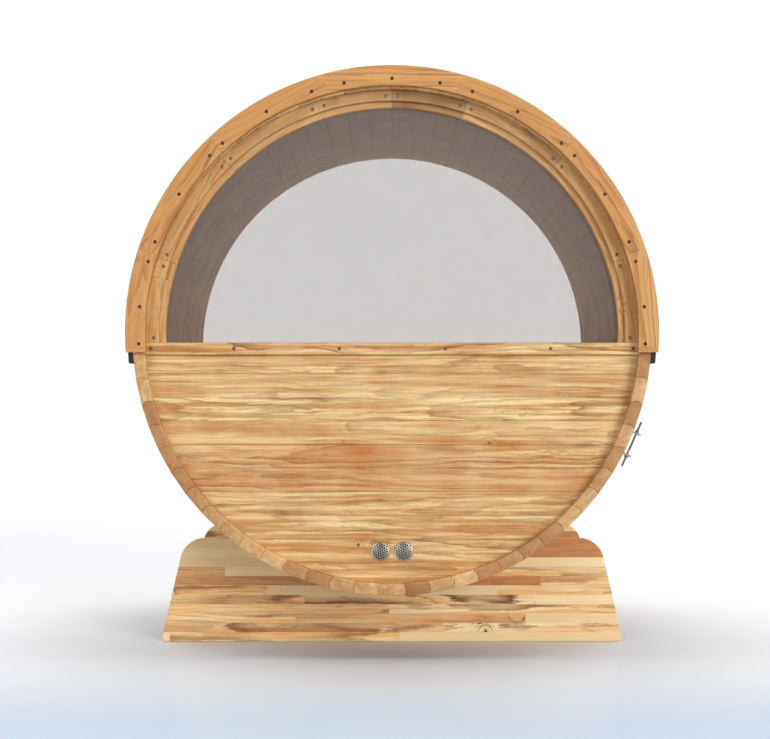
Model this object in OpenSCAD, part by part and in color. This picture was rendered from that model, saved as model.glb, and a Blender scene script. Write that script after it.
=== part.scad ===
// Barrel sauna: a round hut of staves lying on two cradles.
// Millimetres, +Z up. X is the width and Y runs along the barrel, window end at -Y.
// The origin lies on the ground, midway between the two ends.

/* [Barrel] */
// Outside diameter over the staves
barrel_d = 1800; // [1500:10:2200]
// Length over the stave ends
barrel_l = 1800; // [1400:10:3000]
// Thickness of the staves
stave_t = 42; // [34:1:51]
// Wall segments around the barrel, each a bundle of staves
wall_segments = 13; // [10:1:16]
// Depth of the groove in the staves that holds each end
groove_d = 10; // [6:1:14]
// Distance from the stave ends in to the face of each end
end_recess = 45; // [32:1:80]
// Height of the barrel's underside above the ground
ground_gap = 225; // [180:5:280]
// Clearance where one piece fits in or round another
fit = 0.3; // [0.2:0.1:0.5]

/* [Window end] */
// Thickness of the board wall below the window
wall_t = 42; // [34:1:51]
// Depth of the sill rail's top edge below the barrel's axis
sill_drop = 21; // [10:1:60]
// Height of the sill rail
sill_h = 42.5; // [30:0.5:60]
// How far the sill rail stands in front of the boards
sill_proud = 24; // [14:1:30]
// Width of the window frame at the sill, from the staves inwards
frame_w = 68.5; // [55:0.5:90]
// How far the glass opening's centre lies above the barrel's axis
frame_rise = 9; // [0:1:16]
// Width of the frame's inner, lower tier
frame_step = 21.5; // [12:0.5:28]
// How far the frame's outer tier stands in front of the inner one
frame_proud = 17; // [8:1:24]
// Angle of the lowest frame joint above the horizontal
frame_joint_low = 18; // [14:1:22]
// Angle of the middle frame joint above the horizontal
frame_joint_mid = 46; // [40:1:52]
// Angle of the highest side joint above the horizontal
frame_joint_high = 72; // [66:1:78]
// Thickness of the window glass
window_glass_t = 8; // [6:1:12]
// Depth of the groove in the frame that holds the window glass
glass_groove_d = 12; // [8:1:16]

/* [Vents] */
// Bore of each air vent through the board wall
vent_bore_d = 58; // [40:1:60]
// Diameter of each vent cover
vent_cover_d = 69; // [64:1:76]
// Thickness of a vent cover at its rim
vent_rim_t = 4; // [3:0.5:6]
// Width of a vent cover's rim
vent_rim_w = 3.5; // [2:0.5:5]
// Thickness of a vent cover's plate
vent_plate_t = 2; // [1:0.5:2.5]
// Distance between the two vents' centres
vent_spacing = 82; // [80:1:120]
// Height of the vents' centres above the lowest inside point
vent_rise = 109; // [90:1:200]

/* [Fascia] */
// Thickness of the fascia boards
fascia_t = 28; // [18:1:40]
// Width of the fascia boards
fascia_w = 70; // [56:1:90]
// How far the fascia's outer radius exceeds the staves' radius
fascia_over = 22; // [20:1:40]
// How far the fascia's centre lies above the barrel's axis
fascia_rise = 14; // [4:1:20]
// Depth of the fascia's cut lower ends below the barrel's axis
fascia_drop = 56; // [30:1:80]
// Angle of the lowest fascia joint above the horizontal
fascia_joint_low = 18.2; // [14:0.1:22]
// Angle of the middle fascia joint above the horizontal
fascia_joint_mid = 46.6; // [40:0.1:52]
// Angle of the highest fascia joint above the horizontal
fascia_joint_high = 74.7; // [66:0.1:80]

/* [Roof] */
// Thickness of the roof covering
roof_t = 14.5; // [8:0.5:16]
// Thickness of the eave trims
eave_t = 16; // [10:0.5:17]
// Depth of the eave trims' lower edge below the barrel's axis
eave_drop = 94; // [90:1:140]
// Height of the eave trims
eave_h = 75; // [50:1:80]

/* [Hoops] */
// Width of the hoops
hoop_w = 30; // [20:1:50]
// Thickness of the hoops
hoop_t = 1; // [0.8:0.1:2]
// Distance from the stave ends in to the middle of a hoop
hoop_inset = 120; // [90:5:200]
// Angle of the tension rods below the horizontal
tie_angle = 24; // [20:1:40]
// Diameter of the threaded tension rods
rod_d = 8; // [6:1:10]
// Length of the tension rods
rod_l = 170; // [150:5:220]
// Distance from the staves' surface out to a rod's axis
rod_off = 27; // [22:1:32]
// Distance between the two lugs that a rod pulls together
lug_spacing = 82; // [70:1:100]
// Thickness of the lugs
lug_t = 6; // [4:0.5:8]
// Height of the lugs above the staves
lug_h = 42; // [40:1:50]
// Width of the lugs and of the lap plate
lug_w = 26; // [16:1:40]
// Length of the plate that covers the lap in a hoop
lap_l = 205; // [120:5:240]
// Thickness of the lap plate
lap_t = 2; // [1:0.5:3]
// Angle of the lap plate's middle below the horizontal
lap_angle = 24.5; // [20:0.5:40]

/* [Cradles] */
// Thickness of the cradle boards
cradle_t = 44; // [30:1:60]
// Height of the cradle's shoulders above the ground
cradle_h = 385; // [320:5:420]
// Width of a cradle on the ground
cradle_foot_w = 1734; // [1500:2:2100]
// Width of a cradle at shoulder height, before its corners are rounded
cradle_top_w = 1549; // [1400:2:1900]
// Radius of the cradle's shoulder corners
shoulder_r = 88; // [40:1:110]
// Radius of the cradle's foot corners
foot_r = 15; // [5:1:30]
// Distance between the middles of the two cradles
cradle_spacing = 805; // [600:5:1400]

/* [Glass front] */
// Thickness of the front's glass
front_glass_t = 8; // [6:1:12]
// Width of the glass door
door_w = 620; // [560:10:760]
// Gap all round the glass door
door_gap = 6; // [4:1:8]
// Width of the door's pivot fittings
patch_w = 96; // [60:2:120]
// Height of the lower pivot fitting on the glass
patch_h = 46; // [30:2:70]
// Thickness of a pivot fitting's cheeks
patch_t = 6; // [4:1:8]
// Diameter of the door's upper pivot
pivot_d = 16; // [12:1:20]
// Distance from the door's edge in to its pivots
pivot_inset = 70; // [60:2:100]
// Diameter of the door handle's grips
grip_d = 32; // [24:1:36]
// Length of the grips
grip_l = 320; // [240:10:500]
// Distance from the glass out to a grip's axis
grip_off = 42; // [34:1:50]
// Depth of the grips' middle below the barrel's axis
grip_drop = 200; // [180:10:400]
// Distance from the door's edge in to the handle
grip_inset = 70; // [50:2:120]
// Diameter of the studs that hold the grips
stud_d = 12; // [8:1:14]
// Diameter of the collars that grip the glass
collar_d = 24; // [20:1:30]

/* [Hidden] */
barrel_r = barrel_d / 2;
inner_r = barrel_r - stave_t;
axis_z = ground_gap + barrel_r;
front_y = -barrel_l / 2;
back_y = barrel_l / 2;
whole = 4 * barrel_r;                       // longer than any piece
segment_angle = 360 / wall_segments;

wall_y = front_y + end_recess;              // face of the board wall
wall_back_y = wall_y + wall_t;
front_glass_y = back_y - end_recess - front_glass_t;
groove_r = inner_r + groove_d;
board_r = groove_r - fit;                   // a piece that sits in the groove
sill_top = -sill_drop;
sill_bottom = sill_top - sill_h;
frame_r = inner_r - frame_w;
tier_r = frame_r + frame_step;
glass_y = (wall_y + wall_back_y - window_glass_t) / 2;
past_sill = -60;                            // where the lowest pieces' wedges start, under the sill
frame_joints = [frame_joint_low, frame_joint_mid, frame_joint_high, 90];
frame_cuts = mirrored_cuts(frame_joints);
frame_count = len(frame_cuts) - 1;

fascia_r = barrel_r + fascia_over;
fascia_joints = [fascia_joint_low, fascia_joint_mid, fascia_joint_high];
fascia_cuts = mirrored_cuts(fascia_joints);
fascia_count = len(fascia_cuts) - 1;

hoop_r = barrel_r + fit;
roof_r = hoop_r + hoop_t + fit;             // the roof lies over the hoops
eave_low = -eave_drop;
eave_high = eave_low + eave_h;

door_r = inner_r - door_gap;
pivot_x = door_w / 2 - pivot_inset;
handle_x = grip_inset - door_w / 2;
stud_span = grip_l * 0.6;                   // the studs sit a fifth of the grip in from its ends
washer_t = 1.6;
washer_d = 2 * rod_d;
nut_t = 6.5;
nut_d = 1.88 * rod_d;                       // across the corners
hole_play = 1;                              // how much wider a hole is than what runs through it

function mirrored_cuts(joints) = let (
    left = [for (i = [len(joints) - 1:-1:0]) if (joints[i] < 90) 180 - joints[i]]
) concat([past_sill], joints, left, [180 - past_sill]);

function numbered(name, count) = [for (i = [1:count]) str(name, "_", i)];

$fn = 180;

wood = [0.84, 0.66, 0.44];
pale_wood = [0.88, 0.73, 0.52];
steel = [0.72, 0.72, 0.70];
bitumen = [0.07, 0.07, 0.08];
tinted = [0.55, 0.50, 0.48, 0.5];
clear = [0.80, 0.86, 0.86, 0.4];

// ---- helpers: all of them work about the barrel's axis ----

// Extrudes an outline, drawn in X and height above the axis, from y0 to y1.
module upright(y0, y1) {
    translate([0, y1, axis_z]) rotate([90, 0, 0]) linear_extrude(y1 - y0) children();
}

// Turns a section, drawn as radius and minus Y, about the axis.
module turned(from, sweep) {
    translate([0, 0, axis_z]) rotate([90, 0, 0])
        rotate_extrude(angle = sweep, start = from) children();
}

// A plain ring between two radii and two places along the barrel.
module band(r0, r1, y0, y1, from, sweep) {
    turned(from, sweep) polygon([[r0, -y1], [r1, -y1], [r1, -y0], [r0, -y0]]);
}

module wedge(from, to, rise) {
    mid = (from + to) / 2;
    translate([0, rise]) polygon([
        [0, 0],
        whole * [cos(from), sin(from)],
        whole * [cos(mid), sin(mid)],
        whole * [cos(to), sin(to)]
    ]);
}

module above(height) {
    translate([-whole / 2, height]) square([whole, whole]);
}

module strip(low, high) {
    translate([-whole / 2, low]) square([whole, high - low]);
}

// Keeps a child's parts in front of the stave ends or in the groove.
module end_piece(y_face) {
    upright(y_face, wall_y) intersection() { circle(inner_r - fit); children(0); }
    upright(wall_y, wall_back_y) intersection() { circle(board_r); children(1); }
}

// ---- barrel ----

module wall_segment(i) {
    g0 = wall_y;
    g1 = wall_back_y;
    g2 = front_glass_y;
    g3 = front_glass_y + front_glass_t;
    color(i % 2 == 0 ? wood : pale_wood)
        turned(270 + (i - 0.5) * segment_angle, segment_angle) polygon([
            [inner_r, -front_y], [inner_r, -g0], [groove_r, -g0], [groove_r, -g1],
            [inner_r, -g1], [inner_r, -g2], [groove_r, -g2], [groove_r, -g3],
            [inner_r, -g3], [inner_r, -back_y], [barrel_r, -back_y], [barrel_r, -front_y]
        ]);
}

// ---- window end ----

module vent_place(side) {
    translate([side * vent_spacing / 2, 0, axis_z - inner_r + vent_rise])
        rotate([90, 0, 0]) children();
}

module end_wall() {
    color(wood) difference() {
        upright(wall_y, wall_back_y) intersection() {
            circle(board_r);
            strip(-whole, sill_bottom);
        }
        for (side = [-1, 1]) vent_place(side)
            translate([0, 0, -wall_back_y - 1]) cylinder(d = vent_bore_d, h = wall_t + 2);
    }
}

module vent_cover(side) {
    color(steel) vent_place(side) translate([0, 0, -wall_y]) {
        cylinder(d = vent_cover_d, h = vent_plate_t);
        difference() {
            cylinder(d = vent_cover_d, h = vent_rim_t);
            translate([0, 0, -1])
                cylinder(d = vent_cover_d - 2 * vent_rim_w, h = vent_rim_t + 2);
        }
    }
}

module sill_rail() {
    color(pale_wood) end_piece(wall_y - sill_proud) {
        strip(sill_bottom, sill_top);
        strip(sill_bottom, sill_top);
    }
}

module window_glass() {
    color(tinted) upright(glass_y, glass_y + window_glass_t) intersection() {
        translate([0, frame_rise]) circle(frame_r + glass_groove_d - fit);
        above(sill_top);
    }
}

module window_frame(i) {
    color(i % 2 == 0 ? wood : pale_wood) difference() {
        end_piece(wall_y - frame_proud) {
            frame_outline(i, tier_r);
            frame_outline(i, frame_r);
        }
        upright(glass_y - fit, glass_y + window_glass_t + fit)
            translate([0, frame_rise]) circle(frame_r + glass_groove_d);
    }
}

module frame_outline(i, opening_r) {
    difference() {
        intersection() {
            above(sill_top);
            wedge(frame_cuts[i], frame_cuts[i + 1], frame_rise);
        }
        translate([0, frame_rise]) circle(opening_r);
    }
}

// ---- fascia and roof ----

module fascia_outline(i) {
    intersection() {
        above(-fascia_drop);
        wedge(fascia_cuts[i], fascia_cuts[i + 1], fascia_rise);
        translate([0, fascia_rise]) difference() {
            circle(fascia_r);
            circle(fascia_r - fascia_w);
        }
    }
}

module fascia_board(i) {
    color(i % 2 == 0 ? wood : pale_wood)
        upright(front_y - fascia_t, front_y) fascia_outline(i);
}

// The front's boards: apart by the fit at each joint.
module front_fascia() {
    color(wood) difference() {
        upright(back_y, back_y + fascia_t) for (i = [0:fascia_count - 1]) fascia_outline(i);
        for (i = [1:fascia_count - 1]) upright(back_y - 1, back_y + fascia_t + 1)
            translate([0, fascia_rise]) rotate(fascia_cuts[i])
                translate([0, -fit / 2]) square([whole, fit]);
    }
}

module roof_cover() {
    turn = asin(eave_high / roof_r);
    color(bitumen) band(roof_r, roof_r + roof_t, front_y, back_y, turn, 180 - 2 * turn);
}

module eave_trim(side) {
    low = asin(eave_low / roof_r);
    high = asin(eave_high / roof_r);
    color(bitumen) band(roof_r, roof_r + eave_t, front_y, back_y,
        side > 0 ? low : 180 - high, high - low);
}

// ---- hoops ----

// Moves children from the rod's own place, along Z with X outwards, to a hoop.
module tie_place(y) {
    translate([0, y, axis_z]) rotate([0, tie_angle, 0]) children();
}

module hoop(y) {
    gap = 2 * asin((lug_spacing / 2 - lug_t) / hoop_r);
    lap = lap_l / hoop_r * 180 / PI;
    seat_r = hoop_r + hoop_t / 2;           // lugs and lap plate are sunk half into the hoop
    color(steel) {
        band(hoop_r, hoop_r + hoop_t, y - hoop_w / 2, y + hoop_w / 2,
            gap / 2 - tie_angle, 360 - gap);
        band(seat_r, hoop_r + hoop_t + lap_t, y - lug_w / 2, y + lug_w / 2,
            180 + lap_angle - lap / 2, lap);
        difference() {
            tie_place(y) for (end = [-1, 1])
                translate([barrel_r - lug_t, -lug_w / 2, end * lug_spacing / 2 - lug_t / 2])
                    cube([lug_t + lug_h, lug_w, lug_t]);
            translate([0, y, axis_z]) rotate([90, 0, 0])
                cylinder(r = seat_r, h = 2 * hoop_w, center = true);
            tie_place(y) translate([barrel_r + rod_off, 0, -rod_l / 2])
                cylinder(d = rod_d + hole_play, h = rod_l);
        }
    }
}

module tension_rod(y) {
    color(steel) tie_place(y) translate([barrel_r + rod_off, 0, 0]) {
        translate([0, 0, -rod_l / 2]) cylinder(d = rod_d, h = rod_l);
        for (end = [0, 1]) mirror([0, 0, end]) translate([0, 0, lug_spacing / 2 + lug_t / 2]) {
            cylinder(d = washer_d, h = washer_t);
            translate([0, 0, washer_t]) cylinder(d = nut_d, h = nut_t, $fn = 6);
        }
    }
}

// ---- cradles ----

// A rounded corner at p, between the directions to a and b.
function unit(v) = v / norm(v);
function half_angle(p, a, b) = acos(unit(a - p) * unit(b - p)) / 2;
function corner_run(p, a, b, r) = r / tan(half_angle(p, a, b));
function corner_centre(p, a, b, r) =
    p + r / sin(half_angle(p, a, b)) * unit(unit(a - p) + unit(b - p));

function corner_points(p, a, b, r) = let (run = corner_run(p, a, b, r))
    [p + run * unit(a - p), p + run * unit(b - p)];

// The board's corners are cut off and filled with circles, a hair under the tangent size.
module cradle_outline() {
    foot = [cradle_foot_w / 2, 0];
    top = [cradle_top_w / 2, cradle_h];
    corners = [foot, top, [-top.x, top.y], [-foot.x, 0]];
    before = [for (i = [0:3]) corners[(i + 3) % 4]];
    after = [for (i = [0:3]) corners[(i + 1) % 4]];
    radii = [foot_r, shoulder_r, shoulder_r, foot_r];
    hair = 0.03;
    polygon([for (i = [0:3], q = corner_points(corners[i], before[i], after[i], radii[i])) q]);
    for (i = [0:3]) translate(corner_centre(corners[i], before[i], after[i], radii[i]))
        circle(radii[i] - hair);
}

module cradle(y) {
    color(pale_wood) difference() {
        translate([0, y + cradle_t / 2, 0]) rotate([90, 0, 0])
            linear_extrude(cradle_t) cradle_outline();
        upright(y - cradle_t, y + cradle_t) circle(barrel_r + fit);
    }
}

// ---- glass front ----

module front_pane() {
    upright(front_glass_y, front_glass_y + front_glass_t) children();
}

module side_glass(side) {
    inner_x = door_w / 2 + door_gap;
    color(clear) front_pane() intersection() {
        circle(board_r);
        translate([side > 0 ? inner_x : -inner_x - whole, -whole / 2]) square(whole);
    }
}

module door_glass() {
    color(clear) difference() {
        front_pane() intersection() {
            circle(door_r);
            square([door_w, whole], center = true);
        }
        stud_places() cylinder(d = stud_d + hole_play, h = 4 * grip_off, center = true);
    }
}

module stud_places() {
    for (end = [-1, 1])
        translate([handle_x, front_glass_y + front_glass_t / 2,
            axis_z - grip_drop + end * stud_span / 2]) rotate([90, 0, 0]) children();
}

module door_handle() {
    reach = grip_off + front_glass_t / 2;
    color(pale_wood) {
        for (face = [-1, 1])
            translate([handle_x, front_glass_y + front_glass_t / 2 + face * reach,
                axis_z - grip_drop - grip_l / 2]) cylinder(d = grip_d, h = grip_l);
        stud_places() {
            cylinder(d = stud_d, h = 2 * reach, center = true);
            for (face = [0, 1]) mirror([0, 0, face]) translate([0, 0, front_glass_t / 2])
                cylinder(d = collar_d, h = grip_off);
        }
    }
}

module door_pivots() {
    upper = sqrt(pow(door_r, 2) - pow(pivot_x, 2));
    color(steel) {
        intersection() {
            translate([pivot_x, front_glass_y + front_glass_t / 2, axis_z + upper - stave_t])
                cylinder(d = pivot_d, h = 2 * stave_t);
            band(door_r + fit, inner_r - fit, front_glass_y - pivot_d, back_y, 0, 180);
        }
        lower_patch();
    }
}

// Two cheeks on the glass, joined below the door's edge.
module lower_patch() {
    low = -sqrt(pow(inner_r, 2) - pow(pivot_x - patch_w / 2, 2));
    difference() {
        upright(front_glass_y - patch_t, front_glass_y + front_glass_t + patch_t) intersection() {
            circle(inner_r - fit);
            translate([pivot_x - patch_w / 2, low]) square([patch_w, patch_h - low + door_low()]);
        }
        front_pane() circle(door_r + fit);
    }
}

// Height of the door's lower edge at its pivot.
function door_low() = -sqrt(pow(door_r, 2) - pow(pivot_x, 2));

// ---- pieces ----

for (i = [0:wall_segments - 1])
    wall_segment(i);
end_wall();
vent_cover(-1);  // vent_cover_left
vent_cover(1);  // vent_cover_right
sill_rail();
window_glass();
for (i = [0:frame_count - 1])
    window_frame(i);
for (i = [0:fascia_count - 1])
    fascia_board(i);
front_fascia();
roof_cover();
eave_trim(-1);  // eave_trim_left
eave_trim(1);  // eave_trim_right
hoop(front_y + hoop_inset);  // window_end_hoop
hoop(back_y - hoop_inset);  // front_hoop
tension_rod(front_y + hoop_inset);  // window_end_tension_rod
tension_rod(back_y - hoop_inset);  // front_tension_rod
cradle(-cradle_spacing / 2);  // window_end_cradle
cradle(cradle_spacing / 2);  // front_cradle
side_glass(-1);  // side_glass_left
side_glass(1);  // side_glass_right
door_glass();
door_pivots();
door_handle();
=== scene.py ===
# Barrel sauna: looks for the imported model.  Metres, +Z up, barrel along Y, window end at -Y.
import math
import bpy
import numpy as np
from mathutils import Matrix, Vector


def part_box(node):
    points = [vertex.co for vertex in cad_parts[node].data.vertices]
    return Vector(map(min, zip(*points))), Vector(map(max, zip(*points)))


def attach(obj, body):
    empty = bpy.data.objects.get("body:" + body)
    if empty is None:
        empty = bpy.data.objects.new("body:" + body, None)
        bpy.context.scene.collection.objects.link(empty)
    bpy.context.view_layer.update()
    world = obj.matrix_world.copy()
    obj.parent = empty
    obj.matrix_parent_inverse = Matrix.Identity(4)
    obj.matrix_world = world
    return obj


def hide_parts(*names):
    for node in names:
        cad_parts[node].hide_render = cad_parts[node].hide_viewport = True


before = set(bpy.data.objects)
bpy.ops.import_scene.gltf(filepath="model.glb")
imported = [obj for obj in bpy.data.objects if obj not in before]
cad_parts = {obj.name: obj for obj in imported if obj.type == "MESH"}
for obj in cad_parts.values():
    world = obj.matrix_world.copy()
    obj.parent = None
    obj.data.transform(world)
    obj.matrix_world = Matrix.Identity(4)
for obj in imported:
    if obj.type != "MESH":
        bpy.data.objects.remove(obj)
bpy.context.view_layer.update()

tau = 2 * math.pi
random = np.random.default_rng(65)

# the frame's own places

segmentNames = sorted((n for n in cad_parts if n.startswith("wall_segment_")),
                      key=lambda n: int(n.rsplit("_", 1)[1]))
segmentBoxes = np.array([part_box(n) for n in segmentNames])
barrelLow, barrelHigh = segmentBoxes[:, 0].min(0), segmentBoxes[:, 1].max(0)
barrelR = round((barrelHigh[2] - barrelLow[2]) / 2, 3)       # to the millimetre, past the mesh facets
axisZ = round(barrelHigh[2], 3) - barrelR
endY, frontY = barrelLow[1], barrelHigh[1]          # window end, glass front
wallLow, wallHigh = np.array(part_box("end_wall"))
railLow, railHigh = np.array(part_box("sill_rail"))
frameLow, frameHigh = np.array(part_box("window_frame_4"))
roofLow, roofHigh = np.array(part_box("roof_cover"))
glassLow = np.array(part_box("side_glass_left"))[0]
staveThickness = 0.042
innerR = barrelR - staveThickness                   # inside radius of the round room


# mesh helpers

def gridFaces(rows, cols, wrapRows=False, wrapCols=False):
    # Quads between neighbours of a rows x cols grid of points numbered row by row.
    i = np.arange(rows if wrapRows else rows - 1)[:, None]
    j = np.arange(cols if wrapCols else cols - 1)[None, :]
    i2, j2 = (i + 1) % rows, (j + 1) % cols
    quads = np.stack([i * cols + j, i * cols + j2, i2 * cols + j2, i2 * cols + j], -1)
    return quads.reshape(-1, 4)


def signedVolume(verts, faces):
    # Sum over face fans of the triple product a . (b x c) / 6: positive when faces point out.
    total = 0.0
    for size in {len(f) for f in faces}:
        index = np.array([f for f in faces if len(f) == size])
        a = verts[index[:, 0]]
        for k in range(1, size - 1):
            total += np.einsum("ij,ij->", a, np.cross(verts[index[:, k]], verts[index[:, k + 1]]))
    return total / 6


def facingOut(verts, faces):
    if signedVolume(verts - verts.mean(0), faces) < 0:
        return [f[::-1] for f in faces]
    return faces


def tube(verts, rows, cols):
    # Rings of points, row by row, as a closed form with a flat cap on its first and last ring.
    verts = verts.reshape(-1, 3)
    faces = gridFaces(rows, cols, wrapCols=True).tolist()
    faces += [list(range(cols))[::-1], list(range((rows - 1) * cols, rows * cols))]
    return verts, facingOut(verts, faces)


def sweep(profile, origin, across, up):
    # Point (i, j) = origin_i + profile_ij.x * across_i + profile_ij.y * up_i.
    verts = (origin[:, None, :] + profile[..., :1] * across[:, None, :]
             + profile[..., 1:] * up[:, None, :])
    return tube(verts, *profile.shape[:2])


def lathe(profile, sides, place, axis, twist=0.0):
    # Turns (radius, height) points about axis through place; both ends are closed flat.
    axis = np.array(axis, float) / np.linalg.norm(axis)
    helper = np.array([0, 0, 1.0]) if abs(axis[2]) < 0.9 else np.array([1.0, 0, 0])
    u = np.cross(helper, axis)
    u /= np.linalg.norm(u)
    v = np.cross(axis, u)
    profile = np.array(profile, float)
    turn = np.arange(sides) * tau / sides + twist
    ring = np.cos(turn)[:, None] * u + np.sin(turn)[:, None] * v
    verts = np.array(place, float) + profile[:, None, 1:] * axis + profile[:, None, :1] * ring[None]
    return tube(verts, len(profile), sides)


def spun(place, axis, across, depth, along, radius, turn):
    # Rings about an axis: place + along * axis + radius * (cos(turn) * across + sin(turn) * depth).
    verts = (place + along[..., None] * axis + (radius * np.cos(turn))[..., None] * across
             + (radius * np.sin(turn))[..., None] * depth)
    return tube(verts, *radius.shape)


def joined(parts):
    # Many (verts, faces) as one.
    verts, faces, start = [], [], 0
    for v, f in parts:
        verts.append(v)
        faces += [[k + start for k in face] for face in f]
        start += len(v)
    return np.concatenate(verts), faces


def makeObject(name, verts, faces, smooth=30.0):
    mesh = bpy.data.meshes.new(name)
    mesh.from_pydata(verts.tolist(), [], faces)
    mesh.validate()
    mesh.polygons.foreach_set("use_smooth", np.ones(len(mesh.polygons), bool))
    mesh.set_sharp_from_angle(angle=math.radians(smooth))
    piece = bpy.data.objects.new(name, mesh)
    bpy.context.scene.collection.objects.link(piece)
    return piece


def finishPiece(piece, material, nodes=()):
    piece.data.materials.clear()
    piece.data.materials.append(material)
    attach(piece, "root")
    if nodes:
        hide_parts(*nodes)
    return piece


def partsPiece(name, parts, material, nodes=(), smooth=30.0):
    return finishPiece(makeObject(name, *joined(parts), smooth), material, nodes)


def cutHoles(part, cutters):
    # Takes closed cutters out of a closed part; the cut is exact, so flat faces stay flat.
    body, tool = makeObject("body", *part), makeObject("tool", *joined(cutters))
    cut = body.modifiers.new("cut", "BOOLEAN")
    cut.operation, cut.solver, cut.object = "DIFFERENCE", "EXACT", tool
    done = body.evaluated_get(bpy.context.evaluated_depsgraph_get()).to_mesh()
    verts = np.empty(len(done.vertices) * 3)
    done.vertices.foreach_get("co", verts)
    faces = [list(p.vertices) for p in done.polygons]
    for o in (body, tool):
        mesh = o.data
        bpy.data.objects.remove(o)
        bpy.data.meshes.remove(mesh)
    return verts.reshape(-1, 3), faces


def pointValues(piece, name, parts, values, kind="FLOAT", into="value"):
    # One value, or one list of them, for the points of each part.
    own = piece.data.attributes.new(name, kind, "POINT")
    own.data.foreach_set(into, np.concatenate(
        [np.broadcast_to(v, (len(p[0]),) + np.shape(v)[1:]) for p, v in zip(parts, values)]).ravel())


def woodPiece(name, boards, material, nodes=(), smooth=30.0):
    # boards: (verts, faces, grain, seed, warmthAndShade).  grain is each point's place in its own board,
    # in metres: along, across and through; seed is the board's own number from 0 to 1, and
    # warmthAndShade, which may be left out, is how far its wood turns to the look's rosy colour:
    # a warmer tone on the wall boards, and painted shade on the window frame, darker towards the crown.
    piece = makeObject(name, *joined([b[:2] for b in boards]), smooth)
    pointValues(piece, "grain", boards, [b[2] for b in boards], "FLOAT_VECTOR", "vector")
    pointValues(piece, "board", boards, [b[3] for b in boards])
    pointValues(piece, "warmthAndShade", boards, [b[4] if len(b) > 4 else 0.0 for b in boards])
    return finishPiece(piece, material, nodes)


def intoBoard(verts, centre, along, across):
    # Places in a board's own frame: dot products with its directions, from its centre.
    along, across = np.array(along, float), np.array(across, float)
    through = np.cross(along, across)
    return (verts - np.array(centre)) @ np.stack([along, across, through], 1)


def xz(angle, radius, y, rise=0.0):
    # A point at an angle and radius about the barrel's axis, lifted by rise.
    angle, radius, y = np.broadcast_arrays(np.asarray(angle, float), radius, y)
    return np.stack([radius * np.cos(angle), y, axisZ + rise + radius * np.sin(angle)], -1)


def arcGrain(verts, mid, radius, y, rise):
    # Grain of a board on an arc: it runs square to the ray through the board's middle.
    return intoBoard(verts, xz(mid, radius, y, rise), (-math.sin(mid), 0, math.cos(mid)),
                     (math.cos(mid), 0, math.sin(mid)))


# shader helpers

def addNode(tree, kind, inputs=None, **settings):
    made = tree.nodes.new(kind)
    for key, value in settings.items():
        setattr(made, key, value)
    for key, value in (inputs or {}).items():
        socket = made.inputs[key]
        if isinstance(value, bpy.types.NodeSocket):
            tree.links.new(value, socket)
        elif isinstance(value, bpy.types.Node):
            tree.links.new(value.outputs[0], socket)
        else:
            socket.default_value = value
    return made


def calc(tree, operation, a, b=0.0, c=0.0, clamp=False):
    made = addNode(tree, "ShaderNodeMath", {0: a, 1: b, 2: c}, operation=operation, use_clamp=clamp)
    return made.outputs[0]


def vectorCalc(tree, operation, a, b=(0, 0, 0), scale=1.0):
    made = addNode(tree, "ShaderNodeVectorMath", {0: a, 1: b}, operation=operation)
    if operation == "SCALE":
        made.inputs["Scale"].default_value = scale
    return made.outputs["Value" if operation in ("LENGTH", "DOT_PRODUCT") else "Vector"]


def blendColour(tree, factor, a, b, mode="MIX"):
    made = addNode(tree, "ShaderNodeMix", {0: factor, 6: a, 7: b}, data_type="RGBA", blend_type=mode)
    return made.outputs[2]


def stretch(tree, value, low, high, newLow=0.0, newHigh=1.0, smooth=False):
    made = addNode(tree, "ShaderNodeMapRange", {"Value": value, "From Min": low, "From Max": high,
                                                "To Min": newLow, "To Max": newHigh},
                   interpolation_type="SMOOTHSTEP" if smooth else "LINEAR")
    return made.outputs[0]


def noise(tree, vector, scale, detail=2.0, roughness=0.5):
    return addNode(tree, "ShaderNodeTexNoise", {"Vector": vector, "Scale": scale, "Detail": detail,
                                                "Roughness": roughness})


def scaled(tree, vector, factors):
    return vectorCalc(tree, "MULTIPLY", vector, factors)


def combine(tree, x, y, z):
    return addNode(tree, "ShaderNodeCombineXYZ", {0: x, 1: y, 2: z}).outputs[0]


def srgb(r, g, b):
    # 0-255 display values as linear light.
    c = np.array([r, g, b]) / 255
    linear = np.where(c <= 0.04045, c / 12.92, ((c + 0.055) / 1.055) ** 2.4)
    return (*linear.tolist(), 1.0)


def newGroup(name, inputs, outputs):
    group = bpy.data.node_groups.new(name, "ShaderNodeTree")
    for label, kind, value in inputs:
        socket = group.interface.new_socket(label, in_out="INPUT", socket_type=kind)
        if value is not None:
            socket.default_value = value
    for label, kind in outputs:
        group.interface.new_socket(label, in_out="OUTPUT", socket_type=kind)
    return group, group.nodes.new("NodeGroupInput"), group.nodes.new("NodeGroupOutput")


def newMaterial(name):
    material = bpy.data.materials.new(name)
    material.use_nodes = True
    tree = material.node_tree
    tree.nodes.clear()
    shader = tree.nodes.new("ShaderNodeBsdfPrincipled")
    output = tree.nodes.new("ShaderNodeOutputMaterial")
    tree.links.new(shader.outputs[0], output.inputs[0])
    return material, tree, shader


def objectPlace(tree):
    return addNode(tree, "ShaderNodeTexCoord").outputs["Object"]


def ownValue(tree, name, output="Fac"):
    return addNode(tree, "ShaderNodeAttribute", attribute_name=name).outputs[output]


def split(tree, vector):
    return addNode(tree, "ShaderNodeSeparateXYZ", {0: vector}).outputs


def chance(tree, seed, output="Value"):
    # One random value, or three, for each seed.
    return addNode(tree, "ShaderNodeTexWhiteNoise", {"W": seed}, noise_dimensions="1D").outputs[output]


def grainNoise(tree, place, along, across, detail, roughness=0.5):
    # Noise drawn out along the board.
    return noise(tree, scaled(tree, place, (along, across, across)), 1.0, detail, roughness)


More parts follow.
